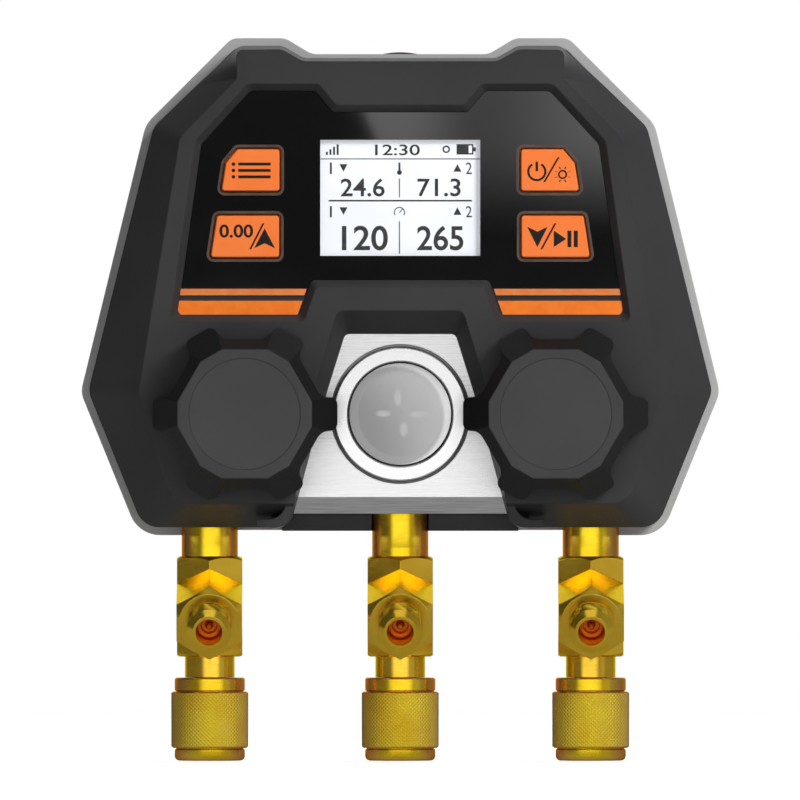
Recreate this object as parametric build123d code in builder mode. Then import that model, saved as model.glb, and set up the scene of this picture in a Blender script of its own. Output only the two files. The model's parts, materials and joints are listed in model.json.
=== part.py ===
# Digital refrigerant manifold gauge: a two-valve aluminium manifold block in a two-piece
# moulded case, with a display panel, four keys, two lobed hand wheels and three brass tees
# that end in knurled swivel nuts.
# Millimetres. X runs to the right, Z up, and the front faces -Y. Y = 0 is the back plane that
# the case lies on, and Z = 0 is the height of the valve and sight glass axes.
# A "depth" is a distance forward of the back plane, so it stands for -Y.

import os
from math import atan2, cos, pi, radians, sin, sqrt

from build123d import *

os.makedirs("parts", exist_ok=True)

# ---- driving dimensions -------------------------------------------------------------------

# fits
running = 0.05  # radial clearance of a shaft in its hole
seat_gap = 0.1  # flat clearance in front of a piece that turns or slides
panel_gap = 0.1  # clearance round a piece that drops into a moulded pocket
pass_gap = 0.3  # clearance round a piece that passes through a wall
thread_gap = 0.02  # radial clearance of a screw in its pilot hole
weld = 0.5  # how far a moulded feature runs into the wall that it stands on
past = 1.0  # how far a cut runs past the surface that it opens

# battery door, cells and bay
door_thickness = 2.2
door_undercut = 1.2
door_half_width = 28.0
door_top = 31.0
door_ribs = 5
door_rib_pitch = 2.4
door_rib_width = 24.0
door_rib_depth = 0.6
door_rib_z = -20.0
cell_radius = 5.2
cell_length = 44.0
cell_cap_radius = 1.9
cell_cap = 0.8
cell_pitch = 11.5
cell_side_gap = 0.95
cell_back_gap = 0.4  # between the door and the cells
cell_front_gap = 0.6
cell_end_gap = 2.6  # for the contact at the flat end
cell_spring_gap = 3.0  # for the contact at the cap
contact_side = 9.0
contact_plate = 0.4
contact_button_radius = 2.6
contact_button = 1.7
bay_bottom = -22.6
bay_wall = 1.0
bay_gap = 0.9  # between the bay and the block

# manifold block
gallery_wall = 1.9
gallery_radius = 2.2
seat_bridge = 2.4  # from the gallery's axis to the valve seats
seat_radius = 2.4
ring_rise = 10.0  # from the seat to the piston's ring groove
piston_head = 4.4  # from the ring groove to the front of the piston
piston_radius = 5.95
lift = 4.5  # three turns of a 1.5 mm thread
shank_length = 4.0
port_inset = 8.5  # from the back of the block to the axis of the brass fittings
passage_radius = 2.6
cross_offset = 1.0
socket_length = 10.0
spigot_radius = 5.5
block_side = 2.7  # beyond the outer port sockets
block_top = 14.0
block_bottom = -24.95
block_chamfer = 4.15
dome_half_width = 16.6
dome_top = 22.4
dome_flare = 3.4
dome_corner = 2.0
plug_radius = 3.6
plug_length = 6.0
plug_key = 2.0
plug_key_depth = 2.5
sensor_radius = 5.0
sensor_seat = 6.0
sensor_flange = 7.5
sensor_flange_height = 4.5
sensor_head = 6.2
sensor_height = 8.5

# valves, sight glass and ports
valve_pitch = 77.6  # between the two hand wheels
port_pitch = 47.75  # between neighbouring hose ports

# case
split_depth = 20.0  # the parting plane between the two shells
case_rise = 6.0  # from the bare face of the block to the front of the case
slope_rise = 10.0  # the height of the sloped border
shell_wall = 2.5
back_wall = 2.4
back_draft = 0.8  # how much the rear shell narrows before its back edge
back_bevel = 5.0  # the bevel round the back plane
bevel_depth = 8.0
wheel_hole = 10.0
throat_wall = 2.0
lobe_corner_radius = 4.6
sill_height = 6.0
sill_drop = 4.35
sill_gap = 0.1
sill_toe = 2.6
lip_width = 0.6
lip_height = 6.5

# panel and display
panel_recess = 2.0
bevel_run = 1.75  # width of the slope round the panel
panel_thickness = 1.5
collar_thickness = 1.5
ledge = 2.0  # the step that the panel rests on
display_width = 40.0
display_height = 29.0
display_z = 54.05
module_margin = 3.0
module_thickness = 5.6
module_bevel = 0.4
board_inset = 1.0
board_thickness = 1.6
board_post = 2.3
board_screw = 1.0
board_screw_head = 2.0
board_screw_length = 3.0
board_head_height = 1.4

# keys
key_proud = 0.8
key_travel = 0.8
key_gap = 0.4
key_corner = 0.7
key_edge = 0.35
key_flange = 0.5
key_flange_thickness = 1.0
key_x = 37.3
plunger_radius = 2.0
switch_side = 6.0
switch_corner = 0.6
switch_height = 1.8
ring_start = 0.5
ring_width = 0.65
ring_proud = 0.3

# hand wheels
knob_gap = 2.0  # between the case and the back of the wheel
knob_height = 22.0
slope_drop = 9.0  # how far the end of a lobe lies behind the front plate
lobes = 6
lobe_tip = 23.1  # from the axis to the end of a lobe
lobe_half_width = 4.2
lobe_rounding = 1.9
valley = 18.7  # from the axis to the flat between two lobes
valley_rounding = 3.4
plate_long_flat = 16.0  # from the axis to the plate's edge between two lobes
plate_short_flat = 16.7  # from the axis to the plate's edge at a lobe
knob_wall = 3.2
hollow_depth = 10.0
hub_radius = 6.5
cap_radius = 13.8
cap_thickness = 1.0
stem_radius = 4.0
spline_radius = 3.0
spline_start = 1.0
stem_end = 8.0  # from the front of the stem to the front of the wheel
stem_pilot = 8.0
key_peg_radius = 2.0
key_peg = 2.0
bonnet_flats = 15.0
bonnet_round = 9.5
bonnet_bevel = 1.0
bonnet_shank = 7.0
bonnet_rise = 1.2  # from the front of the bonnet to the back of the wheel
bonnet_lap = 0.4
cone_tip = 2.0
cone_radius = 4.2
cone_height = 2.6
cone_neck = 1.9
cone_step = 1.0
ring_section = 0.5
ring_groove = 1.05
ring_groove_half = 0.9
washer_floor = 2.5
screw_well = 4.0

# sight glass
bezel_radius = 16.75
bezel_inner = 13.1
bezel_proud = 1.6
bezel_height = 7.6
bezel_floor = 1.5
bezel_edge = 0.4
bezel_opening = 10.6
groove_width = 0.7
groove_depth = 0.8
window_chamber = 10.0
glass_radius = 12.7
glass_thickness = 5.0
glass_edge = 0.5
gasket_proud = 0.2

# brass fittings
tube_radius = 7.05
hex_flats = 16.35
hex_round = 10.0
hex_bevel = 1.4
hex_top = -35.7
hex_bottom = -60.8
tee_socket = 5.0
neck_radius = 6.25
neck_bottom = -66.0
tee_bore = 3.35
port_tilt = 13.0  # degrees that the front port points down
port_centre = -46.3  # height where the port axis crosses the tee axis
boss_length = 27.6
boss_bevel = 1.9
shoulder_radius = 7.65
stub_length = 8.9
stub_radius = 5.556  # 7/16 inch flare thread
nose_radius = 4.05
nose_length = 1.5

# swivel nuts
nut_top = -66.1
nut_bottom = -86.9
collar_radius = 8.8
knurl_radius = 9.65
knurl_top = -69.5
knurl_bottom = -83.75
knurl_top_bevel = 0.2
knurl_bottom_bevel = 0.4
nut_edge = 1.2
nut_mouth = 0.8
nut_bore = 4.95
nut_floor = -71.5
relief_bottom = -76.0
relief_radius = 5.7
tail_radius = 3.95
tail_head = 4.65
tail_end = -75.0
tail_cone = 1.2
tail_cone_length = 1.5

# hook
pivot_z = 86.5
pivot_depth = 4.6
knuckle_radius = 4.4
knuckle_half = 7.0
crown_radius = 21.0
hook_thickness = 4.0
hook_outer = 15.0
hook_inner = 9.5
hook_centre = 57.0
hook_shank_half = 5.2
hook_mouth_low = 1.0
hook_mouth_high = 8.0
pin_radius = 1.5
ear_width = 3.7
ear_radius = 3.5
ear_foot = 6.0
pocket_side_gap = 2.0
pocket_end_gap = 2.5
pocket_wall = 2.0
pocket_corner = 5.0

# screws
screw_radius = 1.5
screw_head = 2.8
screw_head_height = 2.0
screw_well_depth = 6.0
screw_grip = 10.0
screw_hole_gap = 0.2
head_hole_gap = 0.3
case_post_wall = 1.2
block_post_wall = 1.0
boss_wall = 1.5

# ---- positions along the depth ------------------------------------------------------------

cell_depth = door_thickness + cell_back_gap + cell_radius
bay_depth = cell_depth + cell_radius + cell_front_gap
block_back = bay_depth + bay_wall + bay_gap
gallery_depth = block_back + gallery_wall + gallery_radius
seat_depth = gallery_depth + seat_bridge
ring_depth = seat_depth + ring_rise
piston_front = ring_depth + piston_head
bonnet_seat = piston_front - bonnet_lap
block_front = bonnet_seat + shank_length
port_depth = block_back + port_inset
cross_depth = port_depth + cross_offset
case_depth = block_front + case_rise
slope_depth = case_depth - slope_rise
throat_back = block_front + pass_gap
panel_depth = case_depth - panel_recess
panel_back = panel_depth - panel_thickness
collar_back = panel_back - collar_thickness
board_front = panel_back - seat_gap - module_thickness
board_back = board_front - board_thickness
knob_back = case_depth + knob_gap
knob_front = knob_back + knob_height
stem_front = knob_front - stem_end
bonnet_front = knob_back - bonnet_rise
bonnet_cavity = piston_front + lift + weld
bezel_front = block_front + bezel_proud
bezel_back = bezel_front - bezel_height

# ---- positions across the front -----------------------------------------------------------

valve_x = valve_pitch / 2
block_half_width = port_pitch + spigot_radius + running + block_side
groove_radius = bezel_radius + groove_width
bay_half_width = 1.5 * cell_pitch + cell_radius + cell_side_gap
bay_top = bay_bottom + cell_end_gap + cell_length + cell_spring_gap
sill_bottom = block_bottom - sill_drop
socket_top = block_bottom + socket_length
mirrored = (1, -1)

# ---- outlines -----------------------------------------------------------------------------
# Each one is the right half, from the top centre round to the bottom centre: (x, z, corner).

shell_bottom = -28.35
shell_half = [
    (24.1, 89.1, 4.0),
    (29.4, 92.2, 4.0),
    (40.2, 92.2, 4.0),
    (50.9, 82.3, 0.0),
    (61.8, 71.8, 5.6),
    (78.1, 5.6, 5.3),
    (64.4, shell_bottom, 6.0),
]
front_half = [
    (24.3, 88.2, 4.0),
    (29.7, 91.2, 4.0),
    (41.0, 91.0, 1.5),
    (40.8, 83.9, 0.0),
    (55.1, 69.2, 3.5),
    (65.4, 5.5, 5.3),
    (57.6, -22.4, 7.0),
]
rim_half = [
    (22.2, 90.25, 5.0),
    (28.8, 94.25, 5.0),
    (42.2, 94.25, 4.0),
    (63.8, 72.7, 8.0),
    (80.15, 5.4, 6.0),
    (65.6, -30.4, 8.0),
    (53.5, -30.4, 1.5),
    (50.5, -29.1, 1.5),
]
panel_half = [
    (16.0, 77.3, 1.0),
    (20.4, 82.6, 1.5),
    (38.2, 82.6, 2.5),
    (51.4, 68.25, 2.5),
    (57.7, 23.0, 1.5),
    (24.1, 23.0, 1.5),
    (21.0, 31.75, 1.5),
]
# the throat and the gap below it widen at the bottom round the corner of each lobe
lobe_inner = 27.6
gap_side = 34.0
gap_bottom = -36.0
lobe_corner = (lobe_inner, shell_bottom - 0.01, lobe_corner_radius)
gap_end = [(gap_side, shell_bottom - 0.01, 0.0), (gap_side, gap_bottom, 0.0)]
throat_half = [(15.7, 25.9, 2.0), (21.2, 7.75, 6.0), lobe_corner, *gap_end]
throat_floor_half = [(13.8, 20.0, 1.5), (18.3, 5.6, 6.0), lobe_corner, *gap_end]
gap_half = [(lobe_inner, shell_bottom + 2 * lobe_corner_radius, 0.0), lobe_corner, *gap_end]
block_half = [
    (dome_half_width, dome_top, dome_corner),
    (dome_half_width + dome_flare, block_top, dome_corner),
    (block_half_width, block_top, dome_corner),
    (block_half_width, block_bottom, 0.0),
]
mode_key_half = [(30.2, 66.2), (40.7, 66.2), (43.6, 62.75), (44.7, 55.8), (30.2, 55.8)]
lower_key_half = [(30.3, 49.6), (45.8, 49.6), (47.4, 39.2), (30.3, 39.2)]
key_heights = (61.0, 44.4)

case_screws = [(35.0, 85.8), (68.0, 20.0), (block_half_width + 4.0, -20.5)]
boss_ends = [case_depth - 3.5, case_depth - 7.5, case_depth - 6.5]
block_screws = [(31.0, 9.0), (31.0, -17.0)]
board_screws = [(36.0, 79.8), (53.8, 28.4)]


def at_depth(depth, x=0, z=0):
    """The plane a given depth forward of the back plane, seen from the front."""
    return Plane(origin=(x, -depth, z), x_dir=(1, 0, 0), z_dir=(0, -1, 0))


def turned_plane(x, z=0):
    """A plane for turned pieces along Y: sketch points are (radius, depth)."""
    return Plane(origin=(x, 0, z), x_dir=(1, 0, 0), z_dir=(0, 0, -1))


def upright_plane(x):
    """A plane for the brass fittings: sketch points are (radius, height)."""
    return at_depth(port_depth, x)


def depth_axis(x, z=0):
    return Axis((x, 0, z), (0, -1, 0))


def port_axis(x):
    return Axis((x, -port_depth, 0), (0, 0, 1))


def whole(half):
    """The closed outline of a right half and its mirror image."""
    left = [(-x, *rest) for x, *rest in reversed(half)]
    return half + left


def both(places):
    """A list of right-hand places and their mirror images."""
    return [(side * x, z) for side in mirrored for x, z in places]


def inset(outline, distance):
    """The outline with every side moved in by a distance; corner radii are kept."""
    moved = []
    count = len(outline)
    for index, (x, z, corner) in enumerate(outline):
        before = Vector(*outline[index - 1][:2])
        here = Vector(x, z)
        after = Vector(*outline[(index + 1) % count][:2])
        side_in = (here - before).normalized()
        side_out = (after - here).normalized()
        normal_in = Vector(side_in.Y, -side_in.X)
        normal_out = Vector(side_out.Y, -side_out.X)
        shift = (normal_in + normal_out) * (distance / (1 + normal_in.dot(normal_out)))
        moved.append((x + shift.X, z + shift.Y, corner))
    return moved


def filled(outline):
    """The sketch inside an outline of (x, z, corner) points."""
    with BuildSketch(Plane.XY) as shape:
        with BuildLine():
            FilletPolyline(
                *[(x, z) for x, z, corner in outline],
                radius=[corner for x, z, corner in outline],
                close=True,
            )
        make_face()
    return shape.sketch_local


def profile(*points):
    """The sketch inside a straight-sided outline."""
    with BuildSketch(Plane.XY) as shape:
        with BuildLine():
            Polyline(*points, close=True)
        make_face()
    return shape.sketch_local


def key_shape(half, side, grow):
    """A key's outline, grown by a distance, on one side of the panel."""
    corners = [(x, z, key_corner + grow) for x, z in half]
    grown = inset(corners, -grow) if grow else corners
    return filled([(side * x, z, corner) for x, z, corner in grown])


shell_outline = whole(shell_half)
front_outline = whole(front_half)
rim_outline = whole(rim_half)
panel_outline = whole(panel_half)
pocket_outline = inset(panel_outline, bevel_run)
throat_outline = whole(throat_half)
throat_floor = whole(throat_floor_half)
gap_outline = whole(gap_half)

# ---- rear shell ---------------------------------------------------------------------------
# A tray with a bevelled back, a battery bay, a pocket for the folded hook, and posts for the
# block and the case screws. Two thin lips rise round the lower corners of the front shell.

pocket_half_width = hook_outer + pocket_side_gap
pocket_bottom = hook_centre - hook_outer - pocket_end_gap
pocket_depth = pivot_depth + hook_thickness / 2 + pass_gap
ear_inner = knuckle_half + pass_gap
ear_outer = ear_inner + ear_width
door_edge = door_half_width + panel_gap
inner_wall = back_wall - weld
rim_bottom = rim_half[-1][1]
far_below = 2 * rim_bottom
bay_middle = (bay_bottom + bay_top) / 2
bay_height = bay_top - bay_bottom

with BuildPart() as rear_shell:
    with BuildSketch(at_depth(0)):
        add(filled(inset(rim_outline, back_bevel)))
    with BuildSketch(at_depth(bevel_depth)):
        add(filled(inset(rim_outline, back_draft)))
    with BuildSketch(at_depth(split_depth)):
        add(filled(rim_outline))
    loft(ruled=True)
    with BuildSketch(at_depth(back_wall)):
        add(filled(inset(rim_outline, back_bevel + past)))
    with BuildSketch(at_depth(bevel_depth)):
        add(filled(inset(rim_outline, back_draft + back_wall)))
    with BuildSketch(at_depth(split_depth)):
        add(filled(inset(rim_outline, back_wall)))
    loft(ruled=True, mode=Mode.SUBTRACT)

    # posts for the case screws and for the block
    with BuildSketch(at_depth(inner_wall)):
        with Locations(*both(case_screws)):
            Circle(screw_head + case_post_wall)
    extrude(amount=split_depth - inner_wall)
    with BuildSketch(at_depth(inner_wall)):
        with Locations(*both(block_screws)):
            Circle(screw_head + block_post_wall)
    extrude(amount=block_back - inner_wall)

    # lips round the lower corners of the front shell
    lip_x = lobe_inner + lobe_corner_radius
    lip_z = shell_bottom + lobe_corner_radius
    with BuildSketch(at_depth(split_depth - weld)):
        for side in mirrored:
            with Locations((side * lip_x, lip_z)):
                Circle(lobe_corner_radius + seat_gap + lip_width)
                Circle(lobe_corner_radius + seat_gap, mode=Mode.SUBTRACT)
            with Locations((side * 2 * lip_x, lip_z)):
                Rectangle(2 * lip_x, 2 * lip_x, mode=Mode.SUBTRACT)
        with Locations((0, block_bottom - sill_gap)):
            Rectangle(4 * lip_x, lip_x, align=(Align.CENTER, Align.MIN), mode=Mode.SUBTRACT)
    extrude(amount=lip_height + weld)

    # battery bay
    with BuildSketch(at_depth(inner_wall)):
        with Locations((0, bay_middle)):
            Rectangle(2 * (bay_half_width + bay_wall), bay_height + 2 * bay_wall)
    extrude(amount=bay_depth + bay_wall - inner_wall)
    with BuildSketch(at_depth(0)):
        with Locations((0, bay_middle)):
            Rectangle(2 * bay_half_width, bay_height)
    extrude(amount=bay_depth, mode=Mode.SUBTRACT)

    # dovetail recess that the battery door slides in, open at the bottom
    with BuildSketch(Plane.XY.offset(door_top + panel_gap)):
        add(profile(
            (-door_edge + door_undercut, past),
            (door_edge - door_undercut, past),
            (door_edge - door_undercut, 0),
            (door_edge, -door_thickness),
            (-door_edge, -door_thickness),
            (-door_edge + door_undercut, 0),
        ))
    extrude(amount=far_below - door_top, mode=Mode.SUBTRACT)

    # pocket for the folded hook, with a deeper place and two ears for its knuckle
    with BuildSketch(at_depth(inner_wall)):
        with Locations((0, pocket_bottom - pocket_wall)):
            Rectangle(
                2 * (pocket_half_width + pocket_wall),
                pivot_z + pocket_wall + past - pocket_bottom,
                align=(Align.CENTER, Align.MIN),
            )
    extrude(amount=pocket_depth + pocket_wall - inner_wall)
    with BuildSketch(at_depth(inner_wall)):
        with Locations((0, pivot_z - ear_foot - past)):
            Rectangle(
                2 * (ear_outer + pocket_wall),
                ear_foot + ear_radius,
                align=(Align.CENTER, Align.MIN),
            )
    extrude(amount=pivot_depth + knuckle_radius + pocket_wall + pass_gap - inner_wall)
    with BuildSketch(at_depth(-past)):
        with Locations((0, pocket_bottom)):
            RectangleRounded(
                2 * pocket_half_width, pivot_z, pocket_corner, align=(Align.CENTER, Align.MIN)
            )
    extrude(amount=pocket_depth + past, mode=Mode.SUBTRACT)
    with BuildSketch(Plane.YZ.offset(-ear_outer)):
        with Locations((-pivot_depth, pivot_z)):
            Circle(ear_radius)
        add(profile(
            (-pocket_depth - weld, pivot_z - ear_foot),
            (-pivot_depth + past, pivot_z - ear_radius + pass_gap),
            (-pivot_depth + past, pivot_z + ear_radius - pass_gap),
            (-pocket_depth - weld, pivot_z + ear_radius - pass_gap),
        ))
    extrude(amount=2 * ear_outer)
    with BuildSketch(Plane.YZ.offset(-ear_inner)):
        with Locations((-pivot_depth, pivot_z)):
            Circle(knuckle_radius + pass_gap)
        add(profile(
            (-pocket_depth, pivot_z - 2 * ear_foot),
            (ear_foot, pivot_z - 2 * ear_foot),
            (ear_foot, pivot_z + 2 * ear_foot),
            (-pocket_depth, pivot_z + 2 * ear_foot),
        ))
    extrude(amount=2 * ear_inner, mode=Mode.SUBTRACT)
    with BuildSketch(Plane.YZ.offset(-ear_outer - past)):
        with Locations((-pivot_depth, pivot_z)):
            Circle(pin_radius + thread_gap / 2)
    extrude(amount=2 * (ear_outer + past), mode=Mode.SUBTRACT)

    # screw holes with counterbores from the back
    for places, end in [(case_screws, split_depth), (block_screws, block_back)]:
        for x, z in both(places):
            with Locations(at_depth(0, x, z).rotated((180, 0, 0))):
                CounterBoreHole(
                    screw_radius + screw_hole_gap,
                    screw_head + head_hole_gap,
                    screw_well_depth,
                    depth=end + past,
                )

    # half-round notches for the brass tubes
    with BuildSketch(Plane.XY.offset(block_bottom + past)):
        with Locations(*[(side * port_pitch, -port_depth) for side in (-1, 0, 1)]):
            Circle(tube_radius + pass_gap)
    extrude(amount=far_below - block_bottom, mode=Mode.SUBTRACT)
rear_shell.part.label = "rear_shell"
export_step(rear_shell.part, "parts/rear_shell.step")

# ---- front shell --------------------------------------------------------------------------
# The moulded front: sloped borders, a bevelled pocket and ledge for the panel, a sloping
# throat down to the bare face of the block, and two lobes that carry the hand wheels.

slope_back = slope_depth - past

with BuildPart() as front_shell:
    with BuildSketch(at_depth(split_depth)):
        add(filled(shell_outline))
    extrude(amount=slope_depth - split_depth)
    with BuildSketch(at_depth(slope_depth)):
        add(filled(shell_outline))
    with BuildSketch(at_depth(case_depth)):
        add(filled(front_outline))
    loft(ruled=True)
    with BuildSketch(at_depth(split_depth)):
        add(filled(inset(shell_outline, shell_wall)))
    extrude(amount=slope_back - split_depth, mode=Mode.SUBTRACT)
    with BuildSketch(at_depth(slope_back)):
        add(filled(inset(shell_outline, shell_wall)))
    with BuildSketch(at_depth(case_depth - shell_wall)):
        add(filled(inset(front_outline, shell_wall)))
    loft(ruled=True, mode=Mode.SUBTRACT)

    # collar behind the panel, walls of the throat and of the gap below the block
    with BuildSketch(at_depth(collar_back)):
        add(filled(inset(panel_outline, -past)))
    extrude(amount=case_depth - past - collar_back)
    for depth, outline in [(throat_back, throat_floor), (case_depth - past, throat_outline)]:
        with BuildSketch(at_depth(depth)):
            add(filled(inset(outline, -throat_wall)))
            with Locations((0, shell_bottom)):
                Rectangle(
                    3 * gap_side, gap_side, align=(Align.CENTER, Align.MAX), mode=Mode.SUBTRACT
                )
    loft(ruled=True)
    with BuildSketch(at_depth(split_depth)):
        with Locations((0, shell_bottom)):
            Rectangle(
                2 * (lobe_inner + lobe_corner_radius),
                block_bottom - pass_gap - shell_bottom,
                align=(Align.CENTER, Align.MIN),
            )
    extrude(amount=throat_back - split_depth)

    # bosses for the case screws and posts for the board
    for place, boss_end in zip(case_screws, boss_ends):
        with BuildSketch(at_depth(split_depth)):
            with Locations(*both([place])):
                Circle(screw_radius + boss_wall)
        extrude(amount=boss_end - split_depth)
    with BuildSketch(at_depth(board_front)):
        with Locations(*both(board_screws)):
            Circle(board_post)
    extrude(amount=collar_back + weld - board_front)

    # panel pocket: bevel, pocket, ledge
    with BuildSketch(at_depth(case_depth)):
        add(filled(panel_outline))
    with BuildSketch(at_depth(panel_depth)):
        add(filled(pocket_outline))
    loft(ruled=True, mode=Mode.SUBTRACT)
    with BuildSketch(at_depth(panel_back)):
        add(filled(pocket_outline))
    extrude(amount=panel_thickness, mode=Mode.SUBTRACT)
    with BuildSketch(at_depth(collar_back - past)):
        add(filled(inset(pocket_outline, ledge)))
    extrude(amount=collar_thickness + 2 * past, mode=Mode.SUBTRACT)

    # throat, and the gap below the block that is open to the bottom
    with BuildSketch(at_depth(throat_back)):
        add(filled(throat_floor))
    with BuildSketch(at_depth(case_depth)):
        add(filled(throat_outline))
    loft(ruled=True, mode=Mode.SUBTRACT)
    with BuildSketch(at_depth(split_depth)):
        add(filled(gap_outline))
    extrude(amount=throat_back - split_depth, mode=Mode.SUBTRACT)

    # openings for the valve bonnets and the brass tubes
    with BuildSketch(at_depth(slope_depth)):
        with Locations((valve_x, 0), (-valve_x, 0)):
            Circle(wheel_hole)
    extrude(amount=slope_rise + past, mode=Mode.SUBTRACT)
    with BuildSketch(Plane.XY.offset(block_bottom + past)):
        with Locations(*[(side * port_pitch, -port_depth) for side in (-1, 0, 1)]):
            Circle(tube_radius + pass_gap)
    extrude(amount=far_below - block_bottom, mode=Mode.SUBTRACT)

    # pilot holes
    with BuildSketch(at_depth(split_depth)):
        with Locations(*both(case_screws)):
            Circle(screw_radius + thread_gap)
    extrude(amount=screw_grip + past, mode=Mode.SUBTRACT)
    with BuildSketch(at_depth(board_front)):
        with Locations(*both(board_screws)):
            Circle(board_screw + thread_gap)
    extrude(amount=board_screw_length + weld, mode=Mode.SUBTRACT)
front_shell.part.label = "front_shell"
export_step(front_shell.part, "parts/front_shell.step")

# ---- sill ---------------------------------------------------------------------------------
# A bar that closes the gap under the block and stands on the front edge of the rear shell.

with BuildPart() as sill:
    with BuildSketch(at_depth(split_depth)):
        with Locations((0, sill_bottom)):
            Rectangle(
                2 * (lip_x - sill_toe), sill_drop - sill_gap, align=(Align.CENTER, Align.MIN)
            )
        with Locations(*both([(lip_x, lip_z)])):
            Circle(lobe_corner_radius + lip_width + 2 * seat_gap, mode=Mode.SUBTRACT)
    extrude(amount=sill_height)
    with BuildSketch(Plane.XY.offset(block_bottom + past)):
        with Locations((0, -port_depth)):
            Circle(tube_radius + pass_gap)
    extrude(amount=far_below - block_bottom, mode=Mode.SUBTRACT)
sill.part.label = "sill"
export_step(sill.part, "parts/sill.step")

# ---- panel, window and display ------------------------------------------------------------

with BuildPart() as panel:
    with BuildSketch(at_depth(panel_back)):
        add(filled(inset(pocket_outline, panel_gap)))
        with Locations((0, display_z)):
            Rectangle(display_width, display_height, mode=Mode.SUBTRACT)
        for half in (mode_key_half, lower_key_half):
            for side in mirrored:
                add(key_shape(half, side, key_gap), mode=Mode.SUBTRACT)
    extrude(amount=panel_thickness)
panel.part.label = "panel"
export_step(panel.part, "parts/panel.step")

with BuildPart() as display_window:
    with BuildSketch(at_depth(panel_back)):
        with Locations((0, display_z)):
            Rectangle(display_width - 2 * running, display_height - 2 * running)
    extrude(amount=panel_thickness)
display_window.part.label = "display_window"
export_step(display_window.part, "parts/display_window.step")

with BuildPart() as display_module:
    with BuildSketch(at_depth(board_front)):
        with Locations((0, display_z)):
            Rectangle(display_width + 2 * module_margin, display_height + 2 * module_margin)
    extrude(amount=module_thickness)
    chamfer(display_module.edges().group_by(Axis.Y)[0], length=module_bevel)
display_module.part.label = "display_module"
export_step(display_module.part, "parts/display_module.step")

with BuildPart() as main_board:
    with BuildSketch(at_depth(board_back)):
        add(filled(inset(panel_outline, board_inset)))
        with Locations(*both(board_screws)):
            Circle(board_screw + screw_hole_gap, mode=Mode.SUBTRACT)
    extrude(amount=board_thickness)
main_board.part.label = "main_board"
export_step(main_board.part, "parts/main_board.step")

with BuildPart() as key_switches:
    with BuildSketch(at_depth(board_front)):
        with Locations(*both([(key_x, z) for z in key_heights])):
            RectangleRounded(switch_side, switch_side, switch_corner)
    extrude(amount=switch_height)
key_switches.part.label = "key_switches"
export_step(key_switches.part, "parts/key_switches.step")

with BuildPart() as key_rings:
    with BuildSketch(at_depth(panel_depth)):
        for half in (mode_key_half, lower_key_half):
            for side in mirrored:
                add(key_shape(half, side, ring_start + ring_width))
                add(key_shape(half, side, ring_start), mode=Mode.SUBTRACT)
    extrude(amount=ring_proud)
key_rings.part.label = "key_rings"
export_step(key_rings.part, "parts/key_rings.step")

# ---- keys ---------------------------------------------------------------------------------
# Each key is a cap with a flange that is trapped behind the panel and a plunger over its switch.

flange_front = panel_back - seat_gap
flange_back = flange_front - key_flange_thickness
plunger_back = board_front + switch_height + key_travel + seat_gap

for label, half, side, height in [
    ("mode_key", mode_key_half, -1, key_heights[0]),
    ("power_key", mode_key_half, 1, key_heights[0]),
    ("up_key", lower_key_half, -1, key_heights[1]),
    ("down_key", lower_key_half, 1, key_heights[1]),
]:
    with BuildPart() as key:
        with BuildSketch(at_depth(flange_back)):
            add(key_shape(half, side, key_gap + key_flange))
        extrude(amount=key_flange_thickness)
        with BuildSketch(at_depth(flange_front)):
            add(key_shape(half, side, 0))
        extrude(amount=panel_depth + key_proud - flange_front)
        fillet(key.faces().sort_by(Axis.Y)[0].edges(), radius=key_edge)
        with BuildSketch(at_depth(plunger_back)):
            with Locations((side * key_x, height)):
                Circle(plunger_radius)
        extrude(amount=flange_back - plunger_back)
    key.part.label = label
    export_step(key.part, f"parts/{label}.step")

# ---- manifold block -----------------------------------------------------------------------
# Milled aluminium with a gallery behind the valve seats, a cross bore from each outer port to
# its valve chamber, a window chamber in the middle and sensor ports on top.

chamber_radius = piston_radius + running
seat_cone = piston_radius - seat_radius
socket_cone = spigot_radius - passage_radius

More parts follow.
